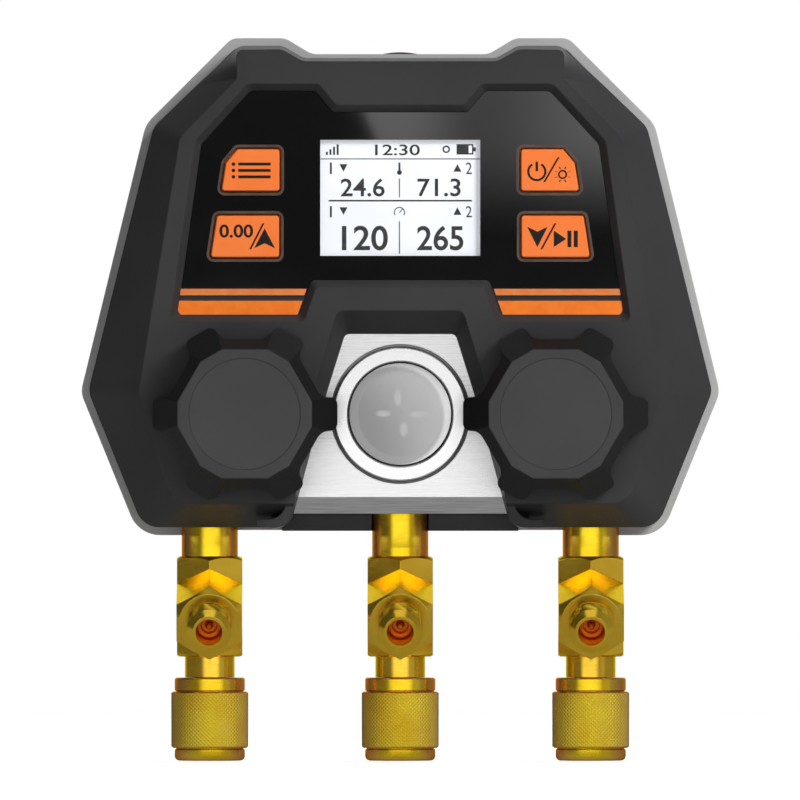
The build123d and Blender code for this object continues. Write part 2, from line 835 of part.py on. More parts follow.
with BuildPart() as manifold_block:
    with BuildSketch(at_depth(block_back)):
        add(filled(whole(block_half)))
    extrude(amount=block_front - block_back)
    bottom_front = manifold_block.edges().filter_by(Axis.X).group_by(Axis.Z)[0].sort_by(Axis.Y)[0]
    chamfer(bottom_front, length=block_chamfer)

    # window chamber
    with BuildSketch(turned_plane(0)):
        add(profile(
            (0, block_front + past),
            (groove_radius, block_front + past),
            (groove_radius, block_front - groove_depth),
            (bezel_radius + running, block_front - groove_depth),
            (bezel_radius + running, bezel_back),
            (window_chamber, bezel_back),
            (window_chamber, cross_depth),
            (0, cross_depth),
        ))
    revolve(axis=depth_axis(0), mode=Mode.SUBTRACT)

    # valve chambers and their seats
    for x in (-valve_x, valve_x):
        with BuildSketch(turned_plane(x)):
            add(profile(
                (0, block_front + past),
                (bonnet_shank + running, block_front + past),
                (bonnet_shank + running, bonnet_seat),
                (chamber_radius, bonnet_seat),
                (chamber_radius, seat_depth + seat_cone / 2),
                (seat_radius, seat_depth),
                (seat_radius, gallery_depth),
                (0, gallery_depth),
            ))
        revolve(axis=depth_axis(x), mode=Mode.SUBTRACT)

    # gallery and cross bores
    with BuildSketch(Plane.YZ.offset(-valve_x)):
        with Locations((-gallery_depth, 0)):
            Circle(gallery_radius)
    extrude(amount=2 * valve_x, mode=Mode.SUBTRACT)
    for side in mirrored:
        with BuildSketch(Plane.YZ.offset(side * block_half_width)):
            with Locations((-cross_depth, 0)):
                Circle(passage_radius)
        extrude(amount=-side * (block_half_width - valve_x), mode=Mode.SUBTRACT)
        with BuildSketch(Plane.YZ.offset(side * block_half_width)):
            with Locations((-cross_depth, 0)):
                Circle(plug_radius)
        extrude(amount=-side * plug_length, mode=Mode.SUBTRACT)

    # port sockets, risers and sensor ports
    for x in (-port_pitch, 0, port_pitch):
        with BuildSketch(upright_plane(x)):
            add(profile(
                (0, block_bottom - past),
                (spigot_radius + running, block_bottom - past),
                (spigot_radius + running, socket_top + seat_gap),
                (passage_radius, socket_top + seat_gap + socket_cone),
                (passage_radius, 0),
                (0, 0),
            ))
        revolve(axis=port_axis(x), mode=Mode.SUBTRACT)
    for x in (-port_pitch, port_pitch):
        with BuildSketch(upright_plane(x)):
            add(profile(
                (0, 0),
                (passage_radius, 0),
                (passage_radius, block_top - sensor_seat),
                (sensor_radius + running, block_top - sensor_seat),
                (sensor_radius + running, block_top + past),
                (0, block_top + past),
            ))
        revolve(axis=port_axis(x), mode=Mode.SUBTRACT)

    # blind holes for the mounting screws
    with BuildSketch(at_depth(block_back)):
        with Locations(*both(block_screws)):
            Circle(screw_radius + thread_gap)
    extrude(amount=screw_grip - bay_gap, mode=Mode.SUBTRACT)
manifold_block.part.label = "manifold_block"
export_step(manifold_block.part, "parts/manifold_block.step")

with BuildPart() as gallery_plugs:
    for side in mirrored:
        with BuildSketch(Plane.YZ.offset(side * block_half_width)):
            with Locations((-cross_depth, 0)):
                Circle(plug_radius - running)
                RegularPolygon(plug_key, 6, major_radius=False, mode=Mode.SUBTRACT)
        extrude(amount=-side * (plug_length - seat_gap))
        with BuildSketch(Plane.YZ.offset(side * (block_half_width - plug_key_depth))):
            with Locations((-cross_depth, 0)):
                Circle(plug_radius - running)
        extrude(amount=-side * (plug_length - plug_key_depth - seat_gap))
gallery_plugs.part.label = "gallery_plugs"
export_step(gallery_plugs.part, "parts/gallery_plugs.step")

# ---- sight glass --------------------------------------------------------------------------

glass_back = bezel_back + bezel_floor

with BuildPart() as sight_bezel:
    with BuildSketch(turned_plane(0)):
        with BuildLine():
            FilletPolyline(
                (bezel_opening, bezel_back),
                (bezel_radius, bezel_back),
                (bezel_radius, bezel_front),
                (bezel_inner, bezel_front),
                (bezel_inner, glass_back),
                (bezel_opening, glass_back),
                radius=[0, 0, bezel_edge, bezel_edge, 0, 0],
                close=True,
            )
        make_face()
    revolve(axis=depth_axis(0))
sight_bezel.part.label = "sight_bezel"
export_step(sight_bezel.part, "parts/sight_bezel.step")

with BuildPart() as sight_glass:
    with BuildSketch(at_depth(glass_back)):
        Circle(glass_radius)
    extrude(amount=glass_thickness)
    fillet(sight_glass.faces().sort_by(Axis.Y)[0].edges(), radius=glass_edge)
sight_glass.part.label = "sight_glass"
export_step(sight_glass.part, "parts/sight_glass.step")

with BuildPart() as sight_gasket:
    with BuildSketch(at_depth(glass_back)):
        Circle(bezel_inner - running)
        Circle(glass_radius + running, mode=Mode.SUBTRACT)
    extrude(amount=glass_thickness + gasket_proud)
sight_gasket.part.label = "sight_gasket"
export_step(sight_gasket.part, "parts/sight_gasket.step")

# ---- valves and hand wheels ---------------------------------------------------------------


def polar(radius, angle):
    return (radius * cos(angle), radius * sin(angle))


def wheel_outline():
    """The outline of the grip: six lobes with flat ends, and flats between them."""
    half_step = pi / lobes
    root = (valley - lobe_half_width * sin(half_step)) / cos(half_step)
    corners = []
    for lobe in range(lobes):
        turn = 2 * half_step * lobe
        for along, across, corner in [
            (root, -lobe_half_width, valley_rounding),
            (lobe_tip, -lobe_half_width, lobe_rounding),
            (lobe_tip, lobe_half_width, lobe_rounding),
            (root, lobe_half_width, valley_rounding),
        ]:
            x = along * cos(turn) - across * sin(turn)
            z = along * sin(turn) + across * cos(turn)
            corners.append((x, z, corner))
    return filled(corners)


def plate_outline(grow):
    """The front plate, grown by a distance: a short side at each lobe, long ones between."""
    half_step = pi / lobes
    long_flat = plate_long_flat + grow
    short_flat = plate_short_flat + grow
    short_half = (long_flat - short_flat * cos(half_step)) / sin(half_step)
    angle = atan2(short_half, short_flat)
    radius = sqrt(short_half**2 + short_flat**2)
    corners = []
    for lobe in range(lobes):
        turn = 2 * half_step * lobe
        corners.append(polar(radius, turn - angle))
        corners.append(polar(radius, turn + angle))
    return profile(*corners)


slope_growth = (lobe_tip - plate_short_flat) / slope_drop
knob_hollow = valley - knob_wall
washer = stem_front + washer_floor

for wheel, x in [("low", -valve_x), ("high", valve_x)]:
    with BuildPart() as piston:
        with BuildSketch(turned_plane(x)):
            add(profile(
                (0, seat_depth),
                (cone_tip, seat_depth),
                (cone_radius, seat_depth + cone_height),
                (cone_radius, seat_depth + cone_height + cone_neck),
                (piston_radius, seat_depth + cone_height + cone_neck + cone_step),
                (piston_radius, ring_depth - ring_groove_half),
                (piston_radius - ring_groove, ring_depth - ring_groove_half),
                (piston_radius - ring_groove, ring_depth + ring_groove_half),
                (piston_radius, ring_depth + ring_groove_half),
                (piston_radius, piston_front),
                (key_peg_radius + seat_gap, piston_front),
                (key_peg_radius + seat_gap, piston_front - key_peg - seat_gap),
                (0, piston_front - key_peg - seat_gap),
            ))
        revolve(axis=depth_axis(x))
    piston.part.label = f"{wheel}_valve_piston"
    export_step(piston.part, f"parts/{wheel}_valve_piston.step")

    with BuildPart() as ring:
        with BuildSketch(turned_plane(x)):
            with Locations((piston_radius - ring_section - running / 2, ring_depth)):
                Circle(ring_section)
        revolve(axis=depth_axis(x))
    ring.part.label = f"{wheel}_piston_ring"
    export_step(ring.part, f"parts/{wheel}_piston_ring.step")

    with BuildPart() as bonnet:
        with BuildSketch(at_depth(block_front, x)):
            RegularPolygon(bonnet_flats / 2, 6, major_radius=False)
        extrude(amount=bonnet_front - block_front)
        with BuildSketch(turned_plane(x)):
            add(profile(
                (0, block_front),
                (bonnet_round, block_front),
                (bonnet_round, bonnet_front - bonnet_bevel),
                (bonnet_flats / 2, bonnet_front),
                (0, bonnet_front),
            ))
        revolve(axis=depth_axis(x), mode=Mode.INTERSECT)
        with BuildSketch(at_depth(bonnet_seat, x)):
            Circle(bonnet_shank)
        extrude(amount=block_front - bonnet_seat)
        with BuildSketch(turned_plane(x)):
            add(profile(
                (0, bonnet_seat - past),
                (chamber_radius + running, bonnet_seat - past),
                (chamber_radius + running, bonnet_cavity),
                (stem_radius + running, bonnet_cavity),
                (stem_radius + running, bonnet_front + past),
                (0, bonnet_front + past),
            ))
        revolve(axis=depth_axis(x), mode=Mode.SUBTRACT)
    bonnet.part.label = f"{wheel}_valve_bonnet"
    export_step(bonnet.part, f"parts/{wheel}_valve_bonnet.step")

    with BuildPart() as stem:
        with BuildSketch(turned_plane(x)):
            add(profile(
                (0, piston_front - key_peg),
                (key_peg_radius, piston_front - key_peg),
                (key_peg_radius, piston_front + seat_gap),
                (stem_radius, piston_front + seat_gap),
                (stem_radius, knob_back + spline_start),
                (spline_radius, knob_back + spline_start),
                (spline_radius, stem_front),
                (0, stem_front),
            ))
        revolve(axis=depth_axis(x))
        with BuildSketch(at_depth(stem_front - stem_pilot, x)):
            Circle(screw_radius + thread_gap)
        extrude(amount=stem_pilot, mode=Mode.SUBTRACT)
    stem.part.label = f"{wheel}_valve_stem"
    export_step(stem.part, f"parts/{wheel}_valve_stem.step")

    with BuildPart() as knob:
        with BuildSketch(at_depth(knob_back, x)):
            add(wheel_outline())
        extrude(amount=knob_height)
        # the facets that fall away from the front plate
        with BuildSketch(at_depth(knob_back, x)):
            add(plate_outline(slope_growth * knob_height))
        with BuildSketch(at_depth(knob_front, x)):
            add(plate_outline(0))
        loft(ruled=True, mode=Mode.INTERSECT)
        # hollow back with a hub
        with BuildSketch(at_depth(knob_back, x)):
            Circle(knob_hollow)
            Circle(hub_radius, mode=Mode.SUBTRACT)
        extrude(amount=hollow_depth, mode=Mode.SUBTRACT)
        # bore for the stem, seat of the screw and recess of the cap
        with BuildSketch(turned_plane(x)):
            add(profile(
                (0, knob_back - past),
                (stem_radius + thread_gap, knob_back - past),
                (stem_radius + thread_gap, knob_back + spline_start),
                (spline_radius + thread_gap, knob_back + spline_start),
                (spline_radius + thread_gap, stem_front),
                (screw_radius + seat_gap, stem_front),
                (screw_radius + seat_gap, washer),
                (screw_well, washer),
                (screw_well, knob_front - cap_thickness),
                (cap_radius + running, knob_front - cap_thickness),
                (cap_radius + running, knob_front + past),
                (0, knob_front + past),
            ))
        revolve(axis=depth_axis(x), mode=Mode.SUBTRACT)
    knob.part.label = f"{wheel}_side_knob"
    export_step(knob.part, f"parts/{wheel}_side_knob.step")

    with BuildPart() as cap:
        with BuildSketch(at_depth(knob_front - cap_thickness, x)):
            Circle(cap_radius)
        extrude(amount=cap_thickness)
    cap.part.label = f"{wheel}_knob_cap"
    export_step(cap.part, f"parts/{wheel}_knob_cap.step")

    with BuildPart() as knob_screw:
        with BuildSketch(turned_plane(x)):
            add(profile(
                (0, stem_front - stem_pilot + past),
                (screw_radius, stem_front - stem_pilot + past),
                (screw_radius, washer),
                (screw_head, washer),
                (screw_head, washer + screw_head_height),
                (0, washer + screw_head_height),
            ))
        revolve(axis=depth_axis(x))
    knob_screw.part.label = f"{wheel}_knob_screw"
    export_step(knob_screw.part, f"parts/{wheel}_knob_screw.step")

# ---- brass fittings -----------------------------------------------------------------------

tilt = radians(port_tilt)
hex_radius = hex_flats / 2
tail_neck = nut_floor - seat_gap

for label, x in [("low_side", -port_pitch), ("centre", 0), ("high_side", port_pitch)]:
    # nipple: spigots into the block and into the tee, and a plain round shoulder between
    with BuildPart() as nipple:
        with BuildSketch(upright_plane(x)):
            add(profile(
                (passage_radius, socket_top),
                (spigot_radius, socket_top),
                (spigot_radius, block_bottom),
                (tube_radius, block_bottom),
                (tube_radius, hex_top),
                (spigot_radius, hex_top),
                (spigot_radius, hex_top - tee_socket),
                (passage_radius, hex_top - tee_socket),
            ))
        revolve(axis=port_axis(x))
    nipple.part.label = f"{label}_nipple"
    export_step(nipple.part, f"parts/{label}_nipple.step")

    # the tee's front port, with its axis tilted down
    outward = Vector(0, -cos(tilt), -sin(tilt))
    crossing = Vector(x, -port_depth, port_centre)
    boss_plane = Plane(origin=crossing, x_dir=(1, 0, 0), z_dir=outward)
    turning = Plane(origin=crossing, x_dir=(1, 0, 0), z_dir=Vector(1, 0, 0).cross(outward))
    stub_end = boss_length + stub_length
    with BuildPart() as branch:
        with BuildSketch(boss_plane):
            RegularPolygon(hex_radius, 6, major_radius=False, rotation=30)
        extrude(amount=boss_length)
        with BuildSketch(turning):
            add(profile(
                (0, 0),
                (hex_round, 0),
                (hex_round, boss_length - boss_bevel),
                (shoulder_radius, boss_length),
                (0, boss_length),
            ))
        revolve(axis=Axis(crossing, outward), mode=Mode.INTERSECT)
        with BuildSketch(turning):
            add(profile(
                (0, boss_length),
                (stub_radius, boss_length),
                (stub_radius, stub_end - nose_length),
                (nose_radius, stub_end),
                (0, stub_end),
            ))
        revolve(axis=Axis(crossing, outward))

    # the hexagon body with turned ends, the neck and the flared tail
    with BuildPart() as tee:
        with BuildSketch(Plane(origin=(x, -port_depth, hex_bottom))):
            RegularPolygon(hex_radius, 6, major_radius=False, rotation=30)
        extrude(amount=hex_top - hex_bottom)
        with BuildSketch(upright_plane(x)):
            add(profile(
                (0, hex_bottom),
                (shoulder_radius, hex_bottom),
                (hex_round, hex_bottom + hex_bevel),
                (hex_round, hex_top - hex_bevel),
                (shoulder_radius, hex_top),
                (0, hex_top),
            ))
        revolve(axis=port_axis(x), mode=Mode.INTERSECT)
        add(branch.part)
        with BuildSketch(upright_plane(x)):
            add(profile(
                (0, hex_bottom),
                (neck_radius, hex_bottom),
                (neck_radius, neck_bottom),
                (tail_radius, neck_bottom),
                (tail_radius, tail_neck),
                (tail_head, tail_neck),
                (tail_head, tail_end + tail_cone_length),
                (tail_head - tail_cone, tail_end),
                (0, tail_end),
            ))
        revolve(axis=port_axis(x))
        with BuildSketch(upright_plane(x)):
            add(profile(
                (0, tail_end - past),
                (passage_radius, tail_end - past),
                (passage_radius, hex_top - tee_socket - seat_gap),
                (spigot_radius + running, hex_top - tee_socket - seat_gap),
                (spigot_radius + running, hex_top + past),
                (0, hex_top + past),
            ))
        revolve(axis=port_axis(x), mode=Mode.SUBTRACT)
        with BuildSketch(boss_plane):
            Circle(tee_bore)
        extrude(amount=stub_end + past, mode=Mode.SUBTRACT)
    tee.part.label = f"{label}_tee"
    export_step(tee.part, f"parts/{label}_tee.step")

    with BuildPart() as nut:
        with BuildSketch(upright_plane(x)):
            with BuildLine():
                Polyline(
                    (tail_radius + running, nut_top),
                    (collar_radius, nut_top),
                    (collar_radius, knurl_top),
                    (knurl_radius, knurl_top - knurl_top_bevel),
                    (knurl_radius, knurl_bottom),
                    (collar_radius, knurl_bottom - knurl_bottom_bevel),
                    (collar_radius, nut_bottom + nut_edge),
                )
                RadiusArc(
                    (collar_radius, nut_bottom + nut_edge),
                    (collar_radius - nut_edge, nut_bottom),
                    nut_edge,
                )
                Polyline(
                    (collar_radius - nut_edge, nut_bottom),
                    (nut_bore + nut_mouth, nut_bottom),
                    (nut_bore, nut_bottom + nut_mouth),
                    (nut_bore, relief_bottom),
                    (relief_radius, relief_bottom),
                    (relief_radius, nut_floor),
                    (tail_radius + running, nut_floor),
                    (tail_radius + running, nut_top),
                )
            make_face()
        revolve(axis=port_axis(x))
    nut.part.label = f"{label}_swivel_nut"
    export_step(nut.part, f"parts/{label}_swivel_nut.step")

# ---- pressure sensors ---------------------------------------------------------------------

for label, x in [("low_side", -port_pitch), ("high_side", port_pitch)]:
    with BuildPart() as sensor:
        with BuildSketch(upright_plane(x)):
            add(profile(
                (0, block_top - sensor_seat + weld),
                (sensor_radius, block_top - sensor_seat + weld),
                (sensor_radius, block_top),
                (sensor_flange, block_top),
                (sensor_flange, block_top + sensor_flange_height),
                (sensor_head, block_top + sensor_flange_height),
                (sensor_head, block_top + sensor_height),
                (0, block_top + sensor_height),
            ))
        revolve(axis=port_axis(x))
    sensor.part.label = f"{label}_pressure_sensor"
    export_step(sensor.part, f"parts/{label}_pressure_sensor.step")

# ---- hook ---------------------------------------------------------------------------------

shank_start = hook_centre + hook_inner + past
shank_end = pivot_z - knuckle_radius / 2
knuckle_end = knuckle_radius - crown_radius + sqrt(crown_radius**2 - knuckle_half**2)

with BuildPart() as hook:
    with BuildSketch(at_depth(pivot_depth - hook_thickness / 2)):
        with Locations((0, hook_centre)):
            Circle(hook_outer)
            Circle(hook_inner, mode=Mode.SUBTRACT)
            add(profile(
                (hook_mouth_high, hook_mouth_low),
                (2 * hook_outer, hook_mouth_low),
                (2 * hook_outer, hook_outer + hook_inner),
                (hook_shank_half + pass_gap, hook_outer + hook_inner),
                (hook_shank_half + pass_gap, hook_mouth_high),
            ), mode=Mode.SUBTRACT)
        with Locations((0, shank_start)):
            Rectangle(
                2 * hook_shank_half, shank_end - shank_start, align=(Align.CENTER, Align.MIN)
            )
    extrude(amount=hook_thickness)
    with BuildSketch(at_depth(pivot_depth, 0, pivot_z)):
        with BuildLine():
            Polyline(
                (-knuckle_half, knuckle_end),
                (-knuckle_half, 0),
                (knuckle_half, 0),
                (knuckle_half, knuckle_end),
            )
            ThreePointArc(
                (-knuckle_half, knuckle_end), (0, knuckle_radius), (knuckle_half, knuckle_end)
            )
        make_face()
    revolve(axis=Axis((0, -pivot_depth, pivot_z), (1, 0, 0)))
    with BuildSketch(Plane.YZ.offset(-knuckle_half - past)):
        with Locations((-pivot_depth, pivot_z)):
            Circle(pin_radius + running)
    extrude(amount=2 * (knuckle_half + past), mode=Mode.SUBTRACT)
hook.part.label = "hook"
export_step(hook.part, "parts/hook.step")

with BuildPart() as hook_pin:
    with BuildSketch(Plane.YZ.offset(-ear_outer)):
        with Locations((-pivot_depth, pivot_z)):
            Circle(pin_radius)
    extrude(amount=2 * ear_outer)
hook_pin.part.label = "hook_pin"
export_step(hook_pin.part, "parts/hook_pin.step")

# ---- battery bay --------------------------------------------------------------------------

with BuildPart() as battery_door:
    with BuildSketch(Plane.XY.offset(door_top)):
        add(profile(
            (-door_half_width + door_undercut, 0),
            (door_half_width - door_undercut, 0),
            (door_half_width, -door_thickness + seat_gap),
            (-door_half_width, -door_thickness + seat_gap),
        ))
    extrude(amount=rim_bottom + back_bevel - door_top)
    with BuildSketch(Plane.XZ):
        with Locations(*[(0, door_rib_z + door_rib_pitch * rib) for rib in range(door_ribs)]):
            Rectangle(door_rib_width, past)
    extrude(amount=door_rib_depth, mode=Mode.SUBTRACT)
battery_door.part.label = "battery_door"
export_step(battery_door.part, "parts/battery_door.step")

cell_bottom = bay_bottom + cell_end_gap
cell_places = [((number - 1.5) * cell_pitch, -cell_depth) for number in range(4)]

for number, (x, y) in enumerate(cell_places):
    with BuildPart() as cell:
        with BuildSketch(Plane(origin=(x, y, cell_bottom))):
            Circle(cell_radius)
        extrude(amount=cell_length - cell_cap)
        with BuildSketch(Plane(origin=(x, y, cell_bottom + cell_length - cell_cap))):
            Circle(cell_cap_radius)
        extrude(amount=cell_cap)
    cell.part.label = f"battery_cell_{number + 1}"
    export_step(cell.part, f"parts/battery_cell_{number + 1}.step")

with BuildPart() as battery_contacts:
    for height, toward in [(bay_bottom, 1), (bay_top, -1)]:
        with BuildSketch(Plane.XY.offset(height)):
            with Locations(*cell_places):
                Rectangle(contact_side, contact_side)
        extrude(amount=toward * contact_plate)
        with BuildSketch(Plane.XY.offset(height)):
            with Locations(*cell_places):
                Circle(contact_button_radius)
        extrude(amount=toward * contact_button)
battery_contacts.part.label = "battery_contacts"
export_step(battery_contacts.part, "parts/battery_contacts.step")

# ---- screws -------------------------------------------------------------------------------

for label, places, end in [
    ("case_screws", case_screws, split_depth + screw_grip),
    ("block_screws", block_screws, block_back + screw_grip - bay_gap - past),
]:
    with BuildPart() as screw_set:
        for x, z in both(places):
            with BuildSketch(turned_plane(x, z)):
                add(profile(
                    (0, screw_well_depth - screw_head_height),
                    (screw_head, screw_well_depth - screw_head_height),
                    (screw_head, screw_well_depth),
                    (screw_radius, screw_well_depth),
                    (screw_radius, end),
                    (0, end),
                ))
            revolve(axis=depth_axis(x, z))
    screw_set.part.label = label
    export_step(screw_set.part, f"parts/{label}.step")

with BuildPart() as board_screw_set:
    for x, z in both(board_screws):
        with BuildSketch(turned_plane(x, z)):
            add(profile(
                (0, board_back - board_head_height),
                (board_screw_head, board_back - board_head_height),
                (board_screw_head, board_back),
                (board_screw, board_back),
                (board_screw, board_front + board_screw_length),
                (0, board_front + board_screw_length),
            ))
        revolve(axis=depth_axis(x, z))
board_screw_set.part.label = "board_screws"
export_step(board_screw_set.part, "parts/board_screws.step")
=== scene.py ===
import json
import math

import bmesh
import bpy
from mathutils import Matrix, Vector


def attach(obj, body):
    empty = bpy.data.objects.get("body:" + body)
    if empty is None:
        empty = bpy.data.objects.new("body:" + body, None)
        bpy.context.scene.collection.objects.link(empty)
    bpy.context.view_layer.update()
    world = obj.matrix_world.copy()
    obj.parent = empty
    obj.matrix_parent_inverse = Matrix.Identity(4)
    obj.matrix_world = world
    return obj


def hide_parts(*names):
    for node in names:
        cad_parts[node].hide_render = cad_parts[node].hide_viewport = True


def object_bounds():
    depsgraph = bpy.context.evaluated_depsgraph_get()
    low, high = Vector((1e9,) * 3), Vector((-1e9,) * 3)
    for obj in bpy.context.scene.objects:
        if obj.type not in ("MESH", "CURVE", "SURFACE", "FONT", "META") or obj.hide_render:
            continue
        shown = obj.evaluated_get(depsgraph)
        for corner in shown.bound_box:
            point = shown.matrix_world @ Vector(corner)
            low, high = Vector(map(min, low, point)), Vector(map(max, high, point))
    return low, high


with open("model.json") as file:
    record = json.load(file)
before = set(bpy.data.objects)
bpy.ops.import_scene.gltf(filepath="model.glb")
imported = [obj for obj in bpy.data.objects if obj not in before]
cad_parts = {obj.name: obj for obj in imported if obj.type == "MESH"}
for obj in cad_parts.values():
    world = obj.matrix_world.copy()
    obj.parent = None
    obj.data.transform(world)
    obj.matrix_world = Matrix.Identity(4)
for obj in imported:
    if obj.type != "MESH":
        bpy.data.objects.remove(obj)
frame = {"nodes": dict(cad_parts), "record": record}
nodes = frame["nodes"]
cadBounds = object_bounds()
mm = 0.001

# ---- shared tools


def linear(hexColour, alpha=1.0):  # sRGB hex to linear
    channels = [int(hexColour[i:i + 2], 16) / 255 for i in (1, 3, 5)]
    return [c / 12.92 if c <= 0.04045 else ((c + 0.055) / 1.055) ** 2.4 for c in channels] + [alpha]


def addNode(tree, kind, inputs=None, **settings):
    node = tree.nodes.new(kind)
    for key, value in settings.items():
        setattr(node, key, value)
    for socket, value in (inputs or {}).items():
        if isinstance(value, bpy.types.NodeSocket):
            tree.links.new(value, node.inputs[socket])
        else:
            node.inputs[socket].default_value = value
    return node


def newMaterial(name, **sockets):
    material = bpy.data.materials.new(name)
    material.use_nodes = True
    tree = material.node_tree
    tree.nodes.clear()
    shader = addNode(tree, "ShaderNodeBsdfPrincipled")
    for socket, value in sockets.items():
        shader.inputs[socket.replace("_", " ")].default_value = value
    output = addNode(tree, "ShaderNodeOutputMaterial", {"Surface": shader.outputs[0]})
    output.location.x = 400
    return material, tree, shader


def stretchedNoise(tree, size, detail=3.0):  # noise whose grain has a real size in mm along x, y and z
    place = addNode(tree, "ShaderNodeTexCoord")
    scale = [1 / (side * mm) for side in size]
    spread = addNode(tree, "ShaderNodeMapping", {"Vector": place.outputs["Object"], "Scale": scale})
    return addNode(tree, "ShaderNodeTexNoise",
                   {"Vector": spread.outputs[0], "Scale": 1.0, "Detail": detail, "Roughness": 0.55})


def tintByNoise(tree, shader, noise, dark, light, low=0.35, high=0.65):
    ramp = addNode(tree, "ShaderNodeValToRGB", {"Fac": noise.outputs["Fac"]})
    ramp.color_ramp.elements[0].position = low
    ramp.color_ramp.elements[0].color = linear(dark)
    ramp.color_ramp.elements[1].position = high
    ramp.color_ramp.elements[1].color = linear(light)
    tree.links.new(ramp.outputs["Color"], shader.inputs["Base Color"])
    return ramp


def roughnessByNoise(tree, shader, noise, smooth, rough):
    span = addNode(tree, "ShaderNodeMapRange", {
        "Value": noise.outputs["Fac"], "From Min": 0.3, "From Max": 0.7,
        "To Min": smooth, "To Max": rough})
    tree.links.new(span.outputs[0], shader.inputs["Roughness"])


def bumpByNoise(tree, shader, noise, depth, strength=1.0, edge=0.0):
    bump = addNode(tree, "ShaderNodeBump", {
        "Height": noise.outputs["Fac"], "Distance": depth * mm, "Strength": strength})
    if edge:  # a worn radius on every corner, in mm
        rounding = addNode(tree, "ShaderNodeBevel", {"Radius": edge * mm}, samples=4)
        tree.links.new(rounding.outputs[0], bump.inputs["Normal"])
    tree.links.new(bump.outputs[0], shader.inputs["Normal"])


print("tools ready")

# ---- finishes


def mouldedPlastic(name, look):
    # injection moulded ABS: a fine spark-eroded grain breaks up the highlights
    material, tree, shader = newMaterial(name, IOR=1.46, Roughness=look["roughness"])
    grain = stretchedNoise(tree, [look["grain"]] * 3, 2.0)
    cloud = stretchedNoise(tree, [38, 38, 38], 2.0)
    tintByNoise(tree, shader, cloud, look["dark"], look["light"])
    roughnessByNoise(tree, shader, grain, look["roughness"] - 0.06, look["roughness"] + 0.06)
    bumpByNoise(tree, shader, grain, look["depth"], 0.5, look.get("edge", 0))
    return material


def knobPlastic(name):
    # glass-filled nylon: matt black lobes, and a front plate rubbed to a lighter satin
    look = {"dark": "#101010", "light": "#151515", "plateDark": "#363637", "plateLight": "#3B3B3C",
            "plateDepth": 69.85, "roughness": 0.5, "edge": 0.5}
    material, tree, shader = newMaterial(name, IOR=1.4, Roughness=look["roughness"])
    grain = stretchedNoise(tree, [0.5, 0.5, 0.5], 2.0)
    cloud = stretchedNoise(tree, [20, 20, 20], 2.0)
    lobes = tintByNoise(tree, shader, cloud, look["dark"], look["light"])
    plate = tintByNoise(tree, shader, cloud, look["plateDark"], look["plateLight"])
    place = addNode(tree, "ShaderNodeTexCoord")
    axes = addNode(tree, "ShaderNodeSeparateXYZ", {0: place.outputs["Object"]})
    front = addNode(tree, "ShaderNodeMath", {0: axes.outputs["Y"], 1: -look["plateDepth"] * mm},
                    operation="LESS_THAN")
    both = addNode(tree, "ShaderNodeMix", {0: front.outputs[0], 6: lobes.outputs["Color"],
                                           7: plate.outputs["Color"]}, data_type="RGBA")
    tree.links.new(both.outputs[2], shader.inputs["Base Color"])
    roughnessByNoise(tree, shader, grain, 0.44, 0.56)
    bumpByNoise(tree, shader, grain, 0.03, 0.5, look["edge"])
    return material


def polishedBrass(name, look):
    # turned brass: deep yellow where it faces the eye, and a painted reflection that turns it bronze where it
    # is seen at a slant
    material, tree, shader = newMaterial(name, Metallic=look["metallic"], Roughness=look["smooth"])
    shader.inputs["Specular Tint"].default_value = linear(look["slant"])
    haze = stretchedNoise(tree, [2.2, 2.2, 0.5], 3.0)
    blush = stretchedNoise(tree, [9, 9, 9], 2.0)
    facing = tintByNoise(tree, shader, blush, look["dark"], look["light"])
    weight = addNode(tree, "ShaderNodeLayerWeight", {"Blend": 0.5})
    turned = addNode(tree, "ShaderNodeMapRange", {
        "Value": weight.outputs["Facing"], "From Min": look["span"][0], "From Max": look["span"][1]})
    # painted reflection: the base colour goes to the slant colour as the surface turns away from the eye
    film = addNode(tree, "ShaderNodeMix", {0: turned.outputs[0], 6: facing.outputs["Color"],
                                           7: linear(look["slant"])}, data_type="RGBA")
    tree.links.new(film.outputs[2], shader.inputs["Base Color"])
    roughnessByNoise(tree, shader, haze, look["smooth"], look["rough"])
    bumpByNoise(tree, shader, haze, 0.004, 0.35, look["edge"])
    return material


def warmBrass(name):
    # brass of the valve core deep in the port: its deep orange is partly its own brass and partly a painted
    # reflection of the bore round it
    material, tree, shader = newMaterial(name, Metallic=0.7, Roughness=0.34)
    film = stretchedNoise(tree, [1.5, 1.5, 1.5], 2.0)
    tintByNoise(tree, shader, film, "#E0701C", "#F08A2A")
    roughnessByNoise(tree, shader, film, 0.3, 0.42)
    return material


def brushedAluminium(name):
    # linished aluminium: long level scratches, drawn coarser than real so that they show
    look = {"dark": "#DCDCDC", "light": "#FFFFFF", "length": 11.0, "line": 0.32, "depth": 0.02}
    material, tree, shader = newMaterial(name, Metallic=1.0, Roughness=0.36, Anisotropic=0.5)
    lines = stretchedNoise(tree, [look["length"], 4.0, look["line"]], 4.0)
    tintByNoise(tree, shader, lines, look["dark"], look["light"], 0.3, 0.6)
    roughnessByNoise(tree, shader, lines, 0.3, 0.46)
    bumpByNoise(tree, shader, lines, look["depth"], 0.5, 0.25)
    return material


def polishedSteel(name):
    # satin nickel ring, faced on a lathe: an even bright sheen with a trace of haze
    material, tree, shader = newMaterial(name, Metallic=1.0, Roughness=0.28)
    haze = stretchedNoise(tree, [5, 5, 5], 3.0)
    tintByNoise(tree, shader, haze, "#E8E8E8", "#F4F4F4")
    roughnessByNoise(tree, shader, haze, 0.24, 0.32)
    return material


